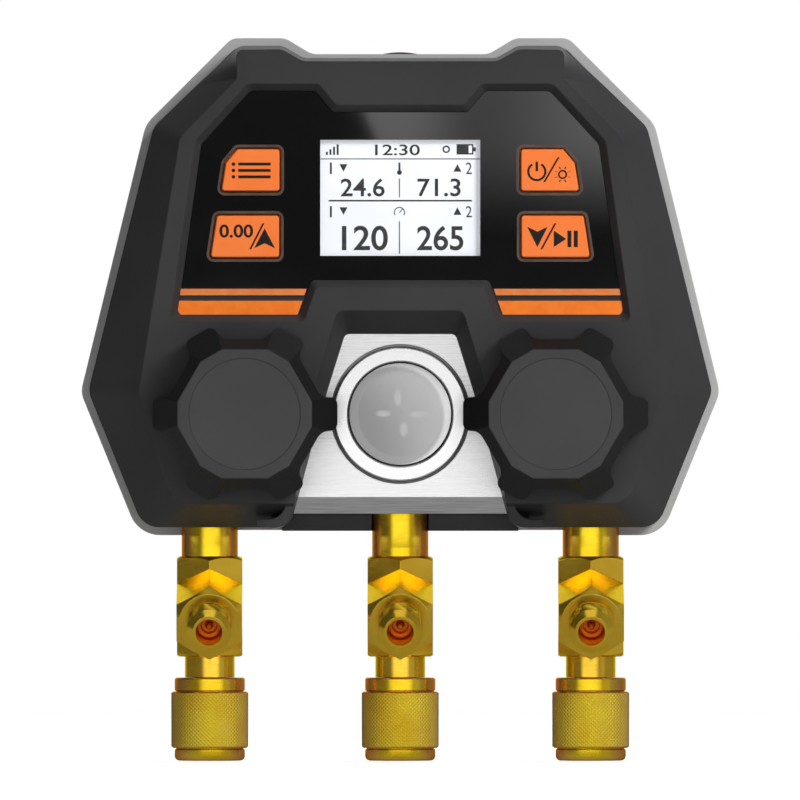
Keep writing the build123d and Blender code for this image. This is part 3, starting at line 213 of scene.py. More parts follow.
def zincSteel(name):
    # zinc plated steel: a cool satin with small patches of lighter crystal
    material, tree, shader = newMaterial(name, Metallic=1.0, Roughness=0.3)
    patches = stretchedNoise(tree, [1.2, 1.2, 1.2], 4.0)
    tintByNoise(tree, shader, patches, "#8E9094", "#BFC1C4")
    roughnessByNoise(tree, shader, patches, 0.24, 0.4)
    bumpByNoise(tree, shader, patches, 0.006, 0.4)
    return material


def glossAcrylic(name):
    # back-printed acrylic: deep black under a hard polished face
    material, tree, shader = newMaterial(name, IOR=1.49, Roughness=0.04)
    wipe = stretchedNoise(tree, [30, 30, 12], 3.0)
    tintByNoise(tree, shader, wipe, "#040404", "#080808")
    roughnessByNoise(tree, shader, wipe, 0.03, 0.07)
    return material


def clearAcrylic(name):
    # clear window over the display: mostly lets light through, with a faint gloss
    material, tree, shader = newMaterial(name, IOR=1.2, Roughness=0.03, Alpha=0.025)
    film = stretchedNoise(tree, [25, 25, 25], 2.0)
    tintByNoise(tree, shader, film, "#F4F6F8", "#FFFFFF")
    return material


def litDisplay(name):
    # backlit white liquid crystal, lit evenly from its edges
    material, tree, shader = newMaterial(name, IOR=1.3, Roughness=0.5, Emission_Strength=0.34)
    glow = stretchedNoise(tree, [16, 16, 16], 1.0)
    tintByNoise(tree, shader, glow, "#D4D6DA", "#DBDDE1")
    shader.inputs["Emission Color"].default_value = linear("#F3F6FF")
    return material


def siliconeKey(name):
    # orange keys with a satin skin, slightly glossier where fingers rub them
    material, tree, shader = newMaterial(name, IOR=1.42, Roughness=0.42)
    rub = stretchedNoise(tree, [9, 9, 9], 2.0)
    grain = stretchedNoise(tree, [0.4, 0.4, 0.4], 2.0)
    tintByNoise(tree, shader, rub, "#F67A30", "#F98038")
    roughnessByNoise(tree, shader, rub, 0.38, 0.46)
    bumpByNoise(tree, shader, grain, 0.01, 0.4, 0.25)
    return material


def printedInk(name, dark, light, gloss=0.25):
    # screen printed ink: opaque, with the slightest unevenness of the film
    material, tree, shader = newMaterial(name, IOR=1.4, Roughness=gloss)
    film = stretchedNoise(tree, [3, 3, 3], 2.0)
    tintByNoise(tree, shader, film, dark, light)
    return material


def spotMask(tree, x, z, width, height, start, end):
    # 0 to 1 between two scaled distances from a centre in mm
    place = addNode(tree, "ShaderNodeTexCoord")
    scaled = addNode(tree, "ShaderNodeMapping", {
        "Vector": place.outputs["Object"], "Scale": (1 / (width * mm), 0, 1 / (height * mm)),
        "Location": (-x / width, 0, -z / height)})
    away = addNode(tree, "ShaderNodeVectorMath", {0: scaled.outputs[0]}, operation="LENGTH")
    return addNode(tree, "ShaderNodeMapRange", {"Value": away.outputs["Value"], "From Min": start,
                                                "From Max": end}, interpolation_type="SMOOTHSTEP")


def sightGlass(name):
    # thick polished glass over a flow chamber: grey, with painted light on its right side, painted highlights
    # on the four flaps and the bevel, and a painted glint on the rim
    look = {"left": "#7A7A7A", "right": "#B2B2B2", "flap": "#B4B4B4", "bevel": "#9C9C9C", "glint": "#DADADA"}
    material, tree, shader = newMaterial(name, Metallic=0.75, Roughness=0.2, Coat_Weight=0.5,
                                         Coat_Roughness=0.04)
    depthCloud = stretchedNoise(tree, [11, 11, 11], 1.0)
    shaded = tintByNoise(tree, shader, depthCloud, look["left"], "#828282", 0.3, 0.7).outputs["Color"]
    # painted light: lighter towards the right, and painted highlights on the bevel, the four flaps and a
    # glint along the rim
    layers = [(spotMask(tree, -24, -11, 30, 30, 0.55, 1.3), 1.0, look["right"]),
              (spotMask(tree, 0, 0, 10.6, 10.6, 0.99, 1.01), 0.3, look["bevel"])]
    for x, z, width, height in ((-4.2, 0.1, 1.9, 0.9), (4.6, 0.0, 2.2, 0.9), (0.9, -3.8, 1.1, 1.9),
                                (-0.6, 4.2, 1.0, 2.3)):
        layers.append((spotMask(tree, x, z, width, height, 1.25, 0.5), 0.6, look["flap"]))
    layers.append((spotMask(tree, -1.5, -0.6, 12.2, 12.2, 0.97, 1.07), 0.9, look["glint"]))
    for mask, share, colour in layers:
        amount = addNode(tree, "ShaderNodeMath", {0: mask.outputs[0], 1: share}, operation="MULTIPLY")
        layer = addNode(tree, "ShaderNodeMix", {0: amount.outputs[0], 6: shaded, 7: linear(colour)},
                        data_type="RGBA")
        shaded = layer.outputs[2]
    tree.links.new(shaded, shader.inputs["Base Color"])
    roughnessByNoise(tree, shader, depthCloud, 0.18, 0.24)
    return material


def mouldedRubber(name):
    # black nitrile rubber: dull, with a talc bloom
    material, tree, shader = newMaterial(name, IOR=1.5, Roughness=0.7)
    bloom = stretchedNoise(tree, [1.5, 1.5, 1.5], 3.0)
    tintByNoise(tree, shader, bloom, "#0D0D0D", "#191918")
    bumpByNoise(tree, shader, bloom, 0.02, 0.4)
    return material


finishes = {
    "light_shell": mouldedPlastic("lightGreyAbs", {
        "dark": "#AEAEAD", "light": "#B9B9B8", "roughness": 0.46, "grain": 0.45, "depth": 0.03, "edge": 0.4}),
    "dark_shell": mouldedPlastic("charcoalAbs", {
        "dark": "#2E2E2F", "light": "#333334", "roughness": 0.5, "grain": 0.45, "depth": 0.03, "edge": 0.5}),
    "knob_black": knobPlastic("nylonKnob"),
    "knob_cap": mouldedPlastic("darkAbsCap", {
        "dark": "#363637", "light": "#3B3B3C", "roughness": 0.5, "grain": 0.4, "depth": 0.02}),
    "hook_black": mouldedPlastic("glassFilledNylon", {
        "dark": "#191919", "light": "#222222", "roughness": 0.55, "grain": 0.7, "depth": 0.05, "edge": 0.4}),
    "switch_black": mouldedPlastic("switchPhenolic", {
        "dark": "#141414", "light": "#1C1C1C", "roughness": 0.5, "grain": 0.5, "depth": 0.02}),
    "circuit_board": mouldedPlastic("greenSolderMask", {
        "dark": "#0C3A1E", "light": "#12502A", "roughness": 0.35, "grain": 0.9, "depth": 0.02}),
    "cell_wrap": mouldedPlastic("shrinkFilmWrap", {
        "dark": "#2A2A2E", "light": "#3A3A40", "roughness": 0.3, "grain": 1.2, "depth": 0.01}),
    # slant: painted reflection colour, bronze where the brass is seen at a slant
    "brass": polishedBrass("turnedBrass", {
        "dark": "#F0C420", "light": "#FAD830", "slant": "#DCA260", "span": (0.08, 0.45), "metallic": 0.96,
        "smooth": 0.18, "rough": 0.26, "edge": 0.18}),
    "block_aluminium": brushedAluminium("linishedAluminium"),
    "polished_steel": polishedSteel("satinNickel"),
    "steel": zincSteel("zincPlatedSteel"),
    "contact_plate": zincSteel("nickelContact"),
    "panel_black": glossAcrylic("blackAcrylic"),
    "window_clear": clearAcrylic("clearAcrylic"),
    "display_white": litDisplay("backlitDisplay"),
    "key_orange": siliconeKey("orangeSilicone"),
    "key_ring": printedInk("bronzeRing", "#4A3B34", "#5A483F", 0.3),
    "sight_glass": sightGlass("sightGlassPane"),
    "rubber_black": mouldedRubber("nitrileRubber"),
}
# knurl: painted reflection, a darker bronze on every face seen at a slant
knurledBrass = polishedBrass("knurledBrass", {
    "dark": "#F4CA2C", "light": "#FEE03C", "slant": "#A8875C", "span": (0.1, 0.6), "metallic": 0.56,
    "smooth": 0.28, "rough": 0.38, "edge": 0.05})
# tee flats: painted highlight, pale yellow on every face seen nearly edge on
facetedBrass = polishedBrass("facetedBrass", {
    "dark": "#EDC03A", "light": "#F8CE44", "slant": "#F4E070", "span": (0.7, 0.95), "metallic": 0.96,
    "smooth": 0.16, "rough": 0.24, "edge": 0.18})
# valve core brass with a painted reflection: its orange partly stands in for light bounced off the bore
coreBrassPaintedOrange = warmBrass("coreBrassWithPaintedReflection")
orangeInk = printedInk("orangeInk", "#F87814", "#FF8420")
paleOrangeInk = printedInk("paleOrangeInk", "#E07C3E", "#E8884A")
blackInk = printedInk("blackInk", "#0C0706", "#140C0A", 0.4)
displayInk = printedInk("displayInk", "#050505", "#090909", 0.6)
# painted shade for the groove round the bezel
greyGrooveShade = printedInk("greyGrooveShade", "#868686", "#909090", 0.6)
greyInk = printedInk("greyInk", "#55565A", "#606166", 0.5)
print("finishes ready")

slotOf = {entry["node"]: entry["material_slot"] for entry in frame["record"]["subparts"]}
for name, piece in nodes.items():
    for place in piece.material_slots:
        place.material = finishes[slotOf[name]]

# ---- mesh tools


def meshObject(name, points, faces, material):
    mesh = bpy.data.meshes.new(name)
    mesh.from_pydata(points, [], faces)
    mesh.materials.append(material)
    mesh.update()
    piece = bpy.data.objects.new(name, mesh)
    bpy.context.scene.collection.objects.link(piece)
    return piece


def skin(rings, closed=False, first=0):  # quads between rings of equal length
    count = len(rings[0])
    faces = []
    for j in range(len(rings) - (0 if closed else 1)):
        low = first + j * count
        high = first + (j + 1) % len(rings) * count
        for i in range(count):
            k = (i + 1) % count
            faces.append((low + i, low + k, high + k, high + i))
    return faces


def smoothed(piece, angle=32):
    mesh = piece.data
    for face in mesh.polygons:
        face.use_smooth = True
    mesh.set_sharp_from_angle(angle=math.radians(angle))
    return piece


def printed(name, outlines, depth, film, material, body):
    # flat ink: outlines in mm seen from the front, film thick, lying on a surface at that depth
    points, faces = [], []
    for outline in outlines:
        start, count = len(points), len(outline)
        points += [(x * mm, -(depth + film) * mm, z * mm) for x, z in outline]
        points += [(x * mm, -depth * mm, z * mm) for x, z in outline]
        faces.append(tuple(range(start, start + count)))
        for i in range(count):
            k = (i + 1) % count
            faces.append((start + i, start + count + i, start + count + k, start + k))
    piece = meshObject(name, points, faces, material)
    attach(piece, body)
    return piece


def block(left, bottom, right, top):
    return [(left, bottom), (right, bottom), (right, top), (left, top)]


def disc(x, z, radius, count=24):
    return [(x + radius * math.cos(2 * math.pi * i / count), z + radius * math.sin(2 * math.pi * i / count))
            for i in range(count)]


def ringArc(x, z, inner, outer, start, end, count=28):  # part of a flat ring, angles from +x
    angles = [math.radians(start + (end - start) * i / count) for i in range(count + 1)]
    outside = [(x + outer * math.cos(a), z + outer * math.sin(a)) for a in angles]
    inside = [(x + inner * math.cos(a), z + inner * math.sin(a)) for a in reversed(angles)]
    return outside + inside


def stroke(x0, z0, x1, z1, width):  # a straight line with level ends
    return [(x0 - width / 2, z0), (x0 + width / 2, z0), (x1 + width / 2, z1), (x1 - width / 2, z1)]


def figures(name, text, box, depth, material, body, bold=0.0):
    # plain numbers set in the built-in face and fitted to a box in mm
    left, bottom, right, top = box
    curve = bpy.data.curves.new(name, "FONT")
    curve.body = text
    curve.offset = bold
    curve.resolution_u = 6
    lettering = bpy.data.objects.new(name + "Curve", curve)
    bpy.context.scene.collection.objects.link(lettering)
    bpy.context.view_layer.update()
    mesh = bpy.data.meshes.new_from_object(lettering.evaluated_get(bpy.context.evaluated_depsgraph_get()))
    bpy.data.objects.remove(lettering)
    xs = [v.co.x for v in mesh.vertices]
    ys = [v.co.y for v in mesh.vertices]
    wide, tall = max(xs) - min(xs), max(ys) - min(ys)
    for v in mesh.vertices:
        across = left + (v.co.x - min(xs)) / wide * (right - left)
        up = bottom + (v.co.y - min(ys)) / tall * (top - bottom)
        v.co = Vector((across * mm, -depth * mm, up * mm))
    mesh.materials.clear()
    mesh.materials.append(material)
    piece = bpy.data.objects.new(name, mesh)
    bpy.context.scene.collection.objects.link(piece)
    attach(piece, body)
    return piece


# ---- swivel nuts: diamond knurl between a collar and a rounded lip

nutLook = {
    "teeth": 60,  # diamonds round the nut, about 1 mm each
    "rows": 14, "cut": 0.16,
    "collarRadius": 8.8, "knurlRadius": 9.65, "boreRadius": 4.95, "throatRadius": 4.0, "reliefRadius": 5.7,
    "top": -66.1, "knurlTop": -69.5, "knurlBottom": -83.75, "bottom": -86.9, "floor": -71.5, "relief": -76.0,
    "edge": 1.2, "groove": 0.35, "threadPitch": 1.27, "threadDepth": 0.5,
}


def swivelNut(label, centreX):
    look = nutLook
    columns = 2 * look["teeth"]

    def ring(radius, height, turn=0.0):
        return [(centreX * mm + radius * mm * math.cos(2 * math.pi * i / columns + turn),
                 -24 * mm + radius * mm * math.sin(2 * math.pi * i / columns + turn), height * mm)
                for i in range(columns)]

    collar, knurl, bottom = look["collarRadius"], look["knurlRadius"], look["bottom"]
    upper = [(look["throatRadius"], look["floor"]), (look["throatRadius"], look["top"] - 0.3),
             (look["throatRadius"] + 0.3, look["top"]), (collar - 0.35, look["top"]),
             (collar, look["top"] - 0.35),
             (collar, look["knurlTop"] + 0.25), (collar - look["groove"], look["knurlTop"] + 0.1),
             (collar - look["groove"], look["knurlTop"] - 0.05), (knurl - 0.45, look["knurlTop"] - 0.1)]
    rings = [ring(radius, height) for radius, height in upper]
    knurlStart = len(rings)
    knurlHigh, knurlLow = look["knurlTop"] - 0.45, look["knurlBottom"] + 0.45
    steps = 2 * look["rows"]
    for j in range(steps + 1):
        height = knurlHigh + (knurlLow - knurlHigh) * j / steps
        crest, valley = ring(knurl, height), ring(knurl - look["cut"], height)
        rings.append([crest[i] if (i + j) % 2 else valley[i] for i in range(columns)])
    knurlEnd = len(rings) - 1
    lower = [(knurl - 0.45, look["knurlBottom"] + 0.05), (collar - look["groove"], look["knurlBottom"]),
             (collar - look["groove"], look["knurlBottom"] - 0.2), (collar, look["knurlBottom"] - 0.4)]
    for k in range(7):
        bend = math.radians(15 * k)
        lower.append((collar - look["edge"] * (1 - math.cos(bend)),
                      bottom + look["edge"] * (1 - math.sin(bend))))
    lower += [(look["boreRadius"] + 0.8, bottom)]
    rings += [ring(radius, height) for radius, height in lower]
    # internal thread: a shallow helix, one turn every 1.27 mm
    depth = bottom + 0.5
    while depth < look["relief"] - 0.1:
        base = ring(1.0, depth)
        row = []
        for i, point in enumerate(base):
            phase = (depth / look["threadPitch"] - i / columns) % 1.0
            radius = look["boreRadius"] + look["threadDepth"] * min(1.0, 1.35 * (1 - abs(2 * phase - 1)))
            row.append((centreX * mm + (point[0] - centreX * mm) * radius,
                        -24 * mm + (point[1] + 24 * mm) * radius, depth * mm))
        rings.append(row)
        depth += look["threadPitch"] / 6
    rings += [ring(look["reliefRadius"], look["relief"]), ring(look["reliefRadius"], look["floor"])]
    points = [point for row in rings for point in row]
    faces = []
    for j, row in enumerate(rings):
        low, high = j * columns, (j + 1) % len(rings) * columns
        for i in range(columns):
            k = (i + 1) % columns
            quad = (low + i, low + k, high + k, high + i)
            if knurlStart <= j < knurlEnd:  # split each quad along its groove
                if (i + j) % 2:
                    faces += [(quad[0], quad[1], quad[3]), (quad[1], quad[2], quad[3])]
                else:
                    faces += [(quad[0], quad[1], quad[2]), (quad[0], quad[2], quad[3])]
            else:
                faces.append(quad)
    piece = meshObject(f"{label}KnurledNut", points, faces, finishes["brass"])
    piece.data.materials.append(knurledBrass)
    for face in piece.data.polygons:
        if len(face.vertices) == 3:
            face.material_index = 1
    smoothed(piece, 24)
    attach(piece, f"{label}_nut")
    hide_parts(f"{label}_swivel_nut")


ports = {"low_side": -47.75, "centre": 0.0, "high_side": 47.75}
for label, centreX in ports.items():
    swivelNut(label, centreX)
print("swivel nuts knurled")

# ---- tees: the plain stub of each front port gets its flare thread

stubLook = {
    "tilt": 13.0, "crossingHeight": -46.3, "start": 27.6, "end": 35.0, "radius": 5.556,
    "pitch": 1.27, "cut": 0.62, "columns": 64,
}


def threadedTee(label, centreX):
    look = stubLook
    tilt = math.radians(look["tilt"])
    origin = Vector((centreX, -24.0, look["crossingHeight"])) * mm
    outward = Vector((0, -math.cos(tilt), -math.sin(tilt)))
    side = Vector((1, 0, 0))
    up = side.cross(outward)
    form = bmesh.new()
    form.from_mesh(nodes[f"{label}_tee"].data)
    plain = []
    for face in form.faces:
        reaches = [(v.co - origin).dot(outward) / mm for v in face.verts]
        radii = [((v.co - origin) - outward * (v.co - origin).dot(outward)).length / mm for v in face.verts]
        onStub = all(abs(radius - look["radius"]) < 0.03 for radius in radii)
        within = min(reaches) > look["start"] - 0.05 and max(reaches) < look["end"] + 0.05
        if onStub and within and abs(face.normal.dot(outward)) < 0.1:
            plain.append(face)
    bmesh.ops.delete(form, geom=plain, context="FACES")
    rows = int((look["end"] - look["start"]) / (look["pitch"] / 8))
    rings = []
    for j in range(rows + 1):
        reach = look["start"] + (look["end"] - look["start"]) * j / rows
        runout = min(1.0, (reach - look["start"]) / 0.9, (look["end"] - reach) / 0.5)
        row = []
        for i in range(look["columns"]):
            angle = 2 * math.pi * i / look["columns"]
            phase = (reach / look["pitch"] - i / look["columns"]) % 1.0
            cut = look["cut"] * runout * min(1.0, max(0.0, 1.3 * (1 - abs(2 * phase - 1)) - 0.15))
            arm = side * math.cos(angle) + up * math.sin(angle)
            row.append(form.verts.new(origin + outward * reach * mm + arm * (look["radius"] - cut) * mm))
        rings.append(row)
    for j in range(rows):
        for i in range(look["columns"]):
            k = (i + 1) % look["columns"]
            form.faces.new((rings[j][i], rings[j][k], rings[j + 1][k], rings[j + 1][i]))
    bmesh.ops.recalc_face_normals(form, faces=form.faces[:])
    mesh = bpy.data.meshes.new(f"{label}ThreadedTee")
    form.to_mesh(mesh)
    form.free()
    mesh.materials.append(facetedBrass)
    piece = bpy.data.objects.new(f"{label}ThreadedTee", mesh)
    bpy.context.scene.collection.objects.link(piece)
    smoothed(piece, 24)
    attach(piece, "case")
    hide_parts(f"{label}_tee")
    print("threaded", label, len(plain), "plain faces cut away")


for label, centreX in ports.items():
    threadedTee(label, centreX)

# ---- valve cores: the depressor seen deep in each front port

coreLook = {"seat": 29.0, "radius": 3.3, "face": 1.2, "pinRadius": 0.75, "pinRise": 1.6, "columns": 40}


def valveCore(label, centreX):
    look = coreLook
    tilt = math.radians(stubLook["tilt"])
    origin = Vector((centreX, -24.0, stubLook["crossingHeight"])) * mm
    outward = Vector((0, -math.cos(tilt), -math.sin(tilt)))
    side = Vector((1, 0, 0))
    up = side.cross(outward)
    seat, pin = look["seat"], look["pinRadius"]
    shape = [(look["radius"], seat - 2.0), (look["radius"], seat), (look["radius"] - 0.4, seat + 0.35),
             (2.1, seat + 0.35), (1.9, seat - look["face"]), (pin + 0.35, seat - look["face"]),
             (pin, seat - look["face"] + 0.3), (pin, seat + look["pinRise"] - 0.25),
             (pin - 0.25, seat + look["pinRise"]), (0.02, seat + look["pinRise"])]
    points = []
    for radius, reach in shape:
        for i in range(look["columns"]):
            angle = 2 * math.pi * i / look["columns"]
            arm = side * math.cos(angle) + up * math.sin(angle)
            points.append(tuple(origin + outward * reach * mm + arm * radius * mm))
    faces = skin([[0] * look["columns"]] * len(shape))
    piece = meshObject(f"{label}ValveCore", points, faces, coreBrassPaintedOrange)
    smoothed(piece, 30)
    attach(piece, "case")


for label, centreX in ports.items():
    valveCore(label, centreX)
print("valve cores fitted")

# ---- sight glass: a bevelled pane with the four flaps of the flow indicator under it

glassLook = {
    "radius": 12.7, "depth": 40.5, "back": 35.5, "bevelStart": 10.4, "bevelDrop": 0.07,
    "flapReach": 4.2, "flapLong": 2.0, "flapWide": 1.3, "flapHeight": 0.02,
}


def indicatorPane():
    look = glassLook
    columns = 96
    radii = [0.6 * k for k in range(1, 18)] + [10.6, 11.0, 11.5, 12.0, 12.4, 12.7]
    points = [(0, -look["depth"] * mm, 0)]
    faces = []
    for radius in radii:
        slope = max(0.0, radius - look["bevelStart"]) / (look["radius"] - look["bevelStart"])
        for i in range(columns):
            angle = 2 * math.pi * i / columns
            x, z = radius * math.cos(angle), radius * math.sin(angle)
            rise = 0.0
            for armX, armZ in ((1, 0), (-1, 0), (0, 1), (0, -1)):
                along, across = x * armX + z * armZ, -x * armZ + z * armX
                rise += math.exp(-((along - look["flapReach"]) / look["flapLong"]) ** 2
                                 - (across / look["flapWide"]) ** 2)
            depth = look["depth"] - look["flapHeight"] + look["flapHeight"] * min(1.0, rise)
            depth -= look["bevelDrop"] * slope ** 1.6
            points.append((x * mm, -depth * mm, z * mm))
    points += [(look["radius"] * mm * math.cos(2 * math.pi * i / columns), -look["back"] * mm,
                look["radius"] * mm * math.sin(2 * math.pi * i / columns)) for i in range(columns)]
    for i in range(columns):
        faces.append((0, 1 + i, 1 + (i + 1) % columns))
    rings = [[0] * columns for _ in range(len(radii) + 1)]
    faces += skin(rings, first=1)
    faces.append(tuple(1 + len(radii) * columns + i for i in reversed(range(columns))))
    piece = meshObject("indicatorPane", points, faces, finishes["sight_glass"])
    smoothed(piece, 40)
    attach(piece, "case")
    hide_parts("sight_glass")


indicatorPane()

grooveShadeLook = {"radius": 17.1, "thickness": 0.33, "depth": 39.53, "columns": 96}


def bezelGrooveShade():  # grey bead in the groove round the bezel: painted shade that darkens the groove
    look = grooveShadeLook
    rings = []
    for k in range(8):
        bend = 2 * math.pi * k / 8
        radius = look["radius"] + look["thickness"] * math.cos(bend)
        depth = look["depth"] + look["thickness"] * math.sin(bend)
        turns = [2 * math.pi * i / look["columns"] for i in range(look["columns"])]
        rings.append([(radius * mm * math.cos(turn), -depth * mm, radius * mm * math.sin(turn))
                      for turn in turns])
    points = [point for ring in rings for point in ring]
    piece = meshObject("bezelGrooveShade", points, skin(rings, closed=True), greyGrooveShade)
    smoothed(piece, 80)
    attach(piece, "case")


bezelGrooveShade()
print("sight glass shaped")

# ---- display graphics: plain numbers and generic signs, printed behind the window

displayLook = {
    "depth": 42.42, "film": 0.02,
    "readings": {  # text, box and weight of each number
        "upperLeft": ("24.6", (-14.9, 54.4, -3.9, 58.9), 0.012),
        "upperRight": ("71.3", (4.3, 54.4, 15.1, 58.9), 0.012),
        "lowerLeft": ("120", (-14.6, 40.9, -3.1, 47.1), 0.015),
        "lowerRight": ("265", (4.2, 40.9, 15.8, 47.1), 0.015),
        "clock": ("12:30", (-6.3, 64.7, 4.9, 67.4), 0.01),
    },
}


def readout():
    look = displayLook
    depth, film = look["depth"], look["film"]
    front = depth + film
    for name, (text, box, weight) in look["readings"].items():
        figures(name + "Reading", text, box, front, displayInk, "case", weight)
    channels = {"channelOne": ("1", -17.6, 0.5), "channelTwo": ("2", 16.4, 1.5)}
    for name, (text, left, width) in channels.items():
        figures(name + "Upper", text, (left, 60.0, left + width, 62.9), front, displayInk, "case")
        figures(name + "Lower", text, (left, 49.2, left + width, 52.0), front, displayInk, "case")
    printed("displayRules", [
        block(-19.9, 63.68, 19.9, 63.92), block(-17.9, 53.15, 17.9, 53.55),
    ], depth, film, displayInk, "case")
    printed("displayDividers", [
        block(-0.35, 54.2, -0.05, 58.9), block(-0.35, 40.1, -0.05, 48.2),
    ], depth, film, greyInk, "case")
    printed("batterySign", [
        block(14.1, 64.9, 17.1, 67.5), block(17.1, 67.15, 18.3, 67.5), block(17.1, 64.9, 18.3, 65.25),
        block(17.95, 65.25, 18.3, 67.15), block(18.3, 65.7, 18.9, 66.7),
    ], depth, film, displayInk, "case")
    printed("signalSign", [
        block(-18.6 + 0.9 * k, 64.8, -18.1 + 0.9 * k, 65.6 + 0.62 * k) for k in range(4)
    ], depth, film, displayInk, "case")
    printed("lampSign", [ringArc(11.5, 66.2, 0.55, 0.95, 0, 359)], depth, film, displayInk, "case")
    # thermometer over the temperatures, dial over the pressures, small arrows for the two sides
    printed("thermometerSign", [
        disc(-0.2, 60.4, 0.6), block(-0.45, 60.8, 0.05, 62.9),
    ], depth, film, displayInk, "case")
    printed("dialSign", [
        ringArc(-0.2, 50.4, 1.15, 1.4, -30, 210), stroke(-0.2, 50.3, 0.55, 51.3, 0.26),
    ], depth, film, displayInk, "case")
    arrows = []
    for base in (60.2, 49.4):
        arrows.append([(-15.2, base + 2.3), (-13.2, base + 2.3), (-14.2, base + 0.4)])
        arrows.append([(13.3, base + 0.4), (15.3, base + 0.4), (14.3, base + 2.3)])
    printed("sideArrows", arrows, depth, film, displayInk, "case")


readout()
print("display drawn")

# ---- key legends: generic signs in black ink on each key

legendLook = {"depth": 44.8, "film": 0.03}


def legends():
    depth, film = legendLook["depth"], legendLook["film"]
    rows = []
    for z in (62.5, 60.9, 59.3):
        rows.append(disc(-41.7, z, 0.45, 16))
        rows.append(block(-40.5, z - 0.36, -32.4, z + 0.36))
    printed("menuLegend", rows, depth, film, blackInk, "mode_key")
    printed("powerLegend", [
        ringArc(34.15, 60.6, 1.85, 2.4, 122, 418, 36), block(33.85, 60.7, 34.45, 63.1),
        stroke(36.0, 58.0, 39.6, 64.2, 0.5), ringArc(40.6, 59.9, 0.75, 1.15, 0, 359, 20),
    ] + [stroke(40.6 + 1.45 * math.cos(a), 59.9 + 1.45 * math.sin(a), 40.6 + 2.05 * math.cos(a),
                59.9 + 2.05 * math.sin(a), 0.3) for a in [math.pi * k / 4 + 0.39 for k in range(8)]],
        depth, film, blackInk, "power_key")
    printed("upLegend", [
        stroke(-37.5, 41.2, -34.2, 47.7, 0.5),
        [(-33.9, 46.4), (-36.5, 41.45), (-33.9, 42.7), (-31.3, 41.45)],
    ], depth, film, blackInk, "up_key")
    figures("zeroLegend", "0.00", (-45.2, 44.1, -36.8, 47.4), depth + film, blackInk, "up_key", 0.02)
    printed("downLegend", [
        [(34.3, 41.75), (36.85, 46.8), (34.3, 45.6), (31.75, 46.8)],
        stroke(35.3, 41.2, 38.8, 47.7, 0.5),
        [(38.4, 45.85), (38.4, 41.75), (41.5, 43.8)],
        block(41.8, 41.75, 42.8, 45.85), block(43.4, 41.75, 44.4, 45.85),
    ], depth, film, blackInk, "down_key")


legends()

# ---- orange stripes: thin inlays low on the panel, ends cut parallel to its edge

stripeLook = {"depth": 44.0, "film": 0.08}


def stripes():
    for label, side in (("low", -1), ("high", 1)):
        upper = [(55.6, 31.3), (55.85, 29.7), (23.95, 29.7), (23.4, 31.3)]
        lower = [(56.05, 28.3), (56.5, 24.85), (25.7, 24.85), (24.45, 28.3)]
        for name, outline, ink in (("UpperStripe", upper, paleOrangeInk), ("LowerStripe", lower, orangeInk)):
            places = [(side * x, z) for x, z in outline]
            if side > 0:
                places.reverse()
            printed(label + name, [places], stripeLook["depth"], stripeLook["film"], ink, "case")


stripes()
print("legends and stripes printed")

# ---- camera, floor and lights

studio = {
    "distance": 8.0, "frameWidth": 0.2, "sensor": 36, "aimX": -0.00006, "aimY": -0.046, "aimZ": 0.0035,
    "floorDrop": 0.0004, "floorSize": 2.4, "floorLift": 0.72, "floorGlossyShare": 0.5,
}

cameraData = bpy.data.cameras.new("camera")
cameraData.sensor_width = studio["sensor"]
cameraData.lens = studio["sensor"] * studio["distance"] / studio["frameWidth"]
cameraData.clip_end = 100
camera = bpy.data.objects.new("camera", cameraData)
bpy.context.scene.collection.objects.link(camera)
camera.location = (studio["aimX"], studio["aimY"] - studio["distance"], studio["aimZ"])
camera.rotation_euler = (math.radians(90), 0, 0)
bpy.context.scene.camera = camera


def seenRays(tree, rays, glossyShare):
    # 1 for rays that show the backdrop: from the camera or through glass, and a share of those off metal
    direct = addNode(tree, "ShaderNodeMath", {0: rays.outputs["Is Camera Ray"],
                                              1: rays.outputs["Is Transmission Ray"]}, operation="MAXIMUM")
    glossy = addNode(tree, "ShaderNodeMath", {0: rays.outputs["Is Glossy Ray"], 1: glossyShare},
                     operation="MULTIPLY")
    return addNode(tree, "ShaderNodeMath", {0: direct.outputs[0], 1: glossy.outputs[0]}, operation="MAXIMUM")


# painted plywood floor: its own pale colour under the lamps, lifted to white where it is seen
floorMaterial, floorTree, floorShader = newMaterial("paleFloorPaint", Roughness=0.8)
floorCloud = stretchedNoise(floorTree, [300, 300, 300], 2.0)
tintByNoise(floorTree, floorShader, floorCloud, "#D2D2D2", "#D9D9D9")
floorShader.inputs["Emission Color"].default_value = (1, 1, 1, 1)
floorRays = addNode(floorTree, "ShaderNodeLightPath")
floorSeen = seenRays(floorTree, floorRays, studio["floorGlossyShare"])
floorLift = addNode(floorTree, "ShaderNodeMath", {0: floorSeen.outputs[0], 1: studio["floorLift"]},
                    operation="MULTIPLY")
floorTree.links.new(floorLift.outputs[0], floorShader.inputs["Emission Strength"])
half = studio["floorSize"] / 2
floorHeight = cadBounds[0].z - studio["floorDrop"]
floor = meshObject("floor", [(-half, -half, floorHeight), (half, -half, floorHeight),
                             (half, half, floorHeight), (-half, half, floorHeight)],
                   [(0, 1, 2, 3)], floorMaterial)


def softbox(name, place, aim, width, height, watts):
    data = bpy.data.lights.new(name, "AREA")
    data.shape = "RECTANGLE"
    data.size, data.size_y, data.energy = width, height, watts
    lamp = bpy.data.objects.new(name, data)
    bpy.context.scene.collection.objects.link(lamp)
    lamp.location = place
    lamp.rotation_euler = (Vector(aim) - Vector(place)).to_track_quat("-Z", "Y").to_euler()
    lamp.visible_camera = False
    lamp.visible_glossy = False  # the cards below make the reflections
    return lamp


softbox("keyLight", (0.85, -1.1, 0.75), (0, 0, 0.02), 0.6, 0.6, 21)
softbox("fillLight", (-1.1, -1.0, 0.3), (0, 0, 0.02), 0.8, 0.8, 1.0)
softbox("topLight", (0, 0.1, 1.4), (0, 0, 0), 1.0, 0.6, 7)


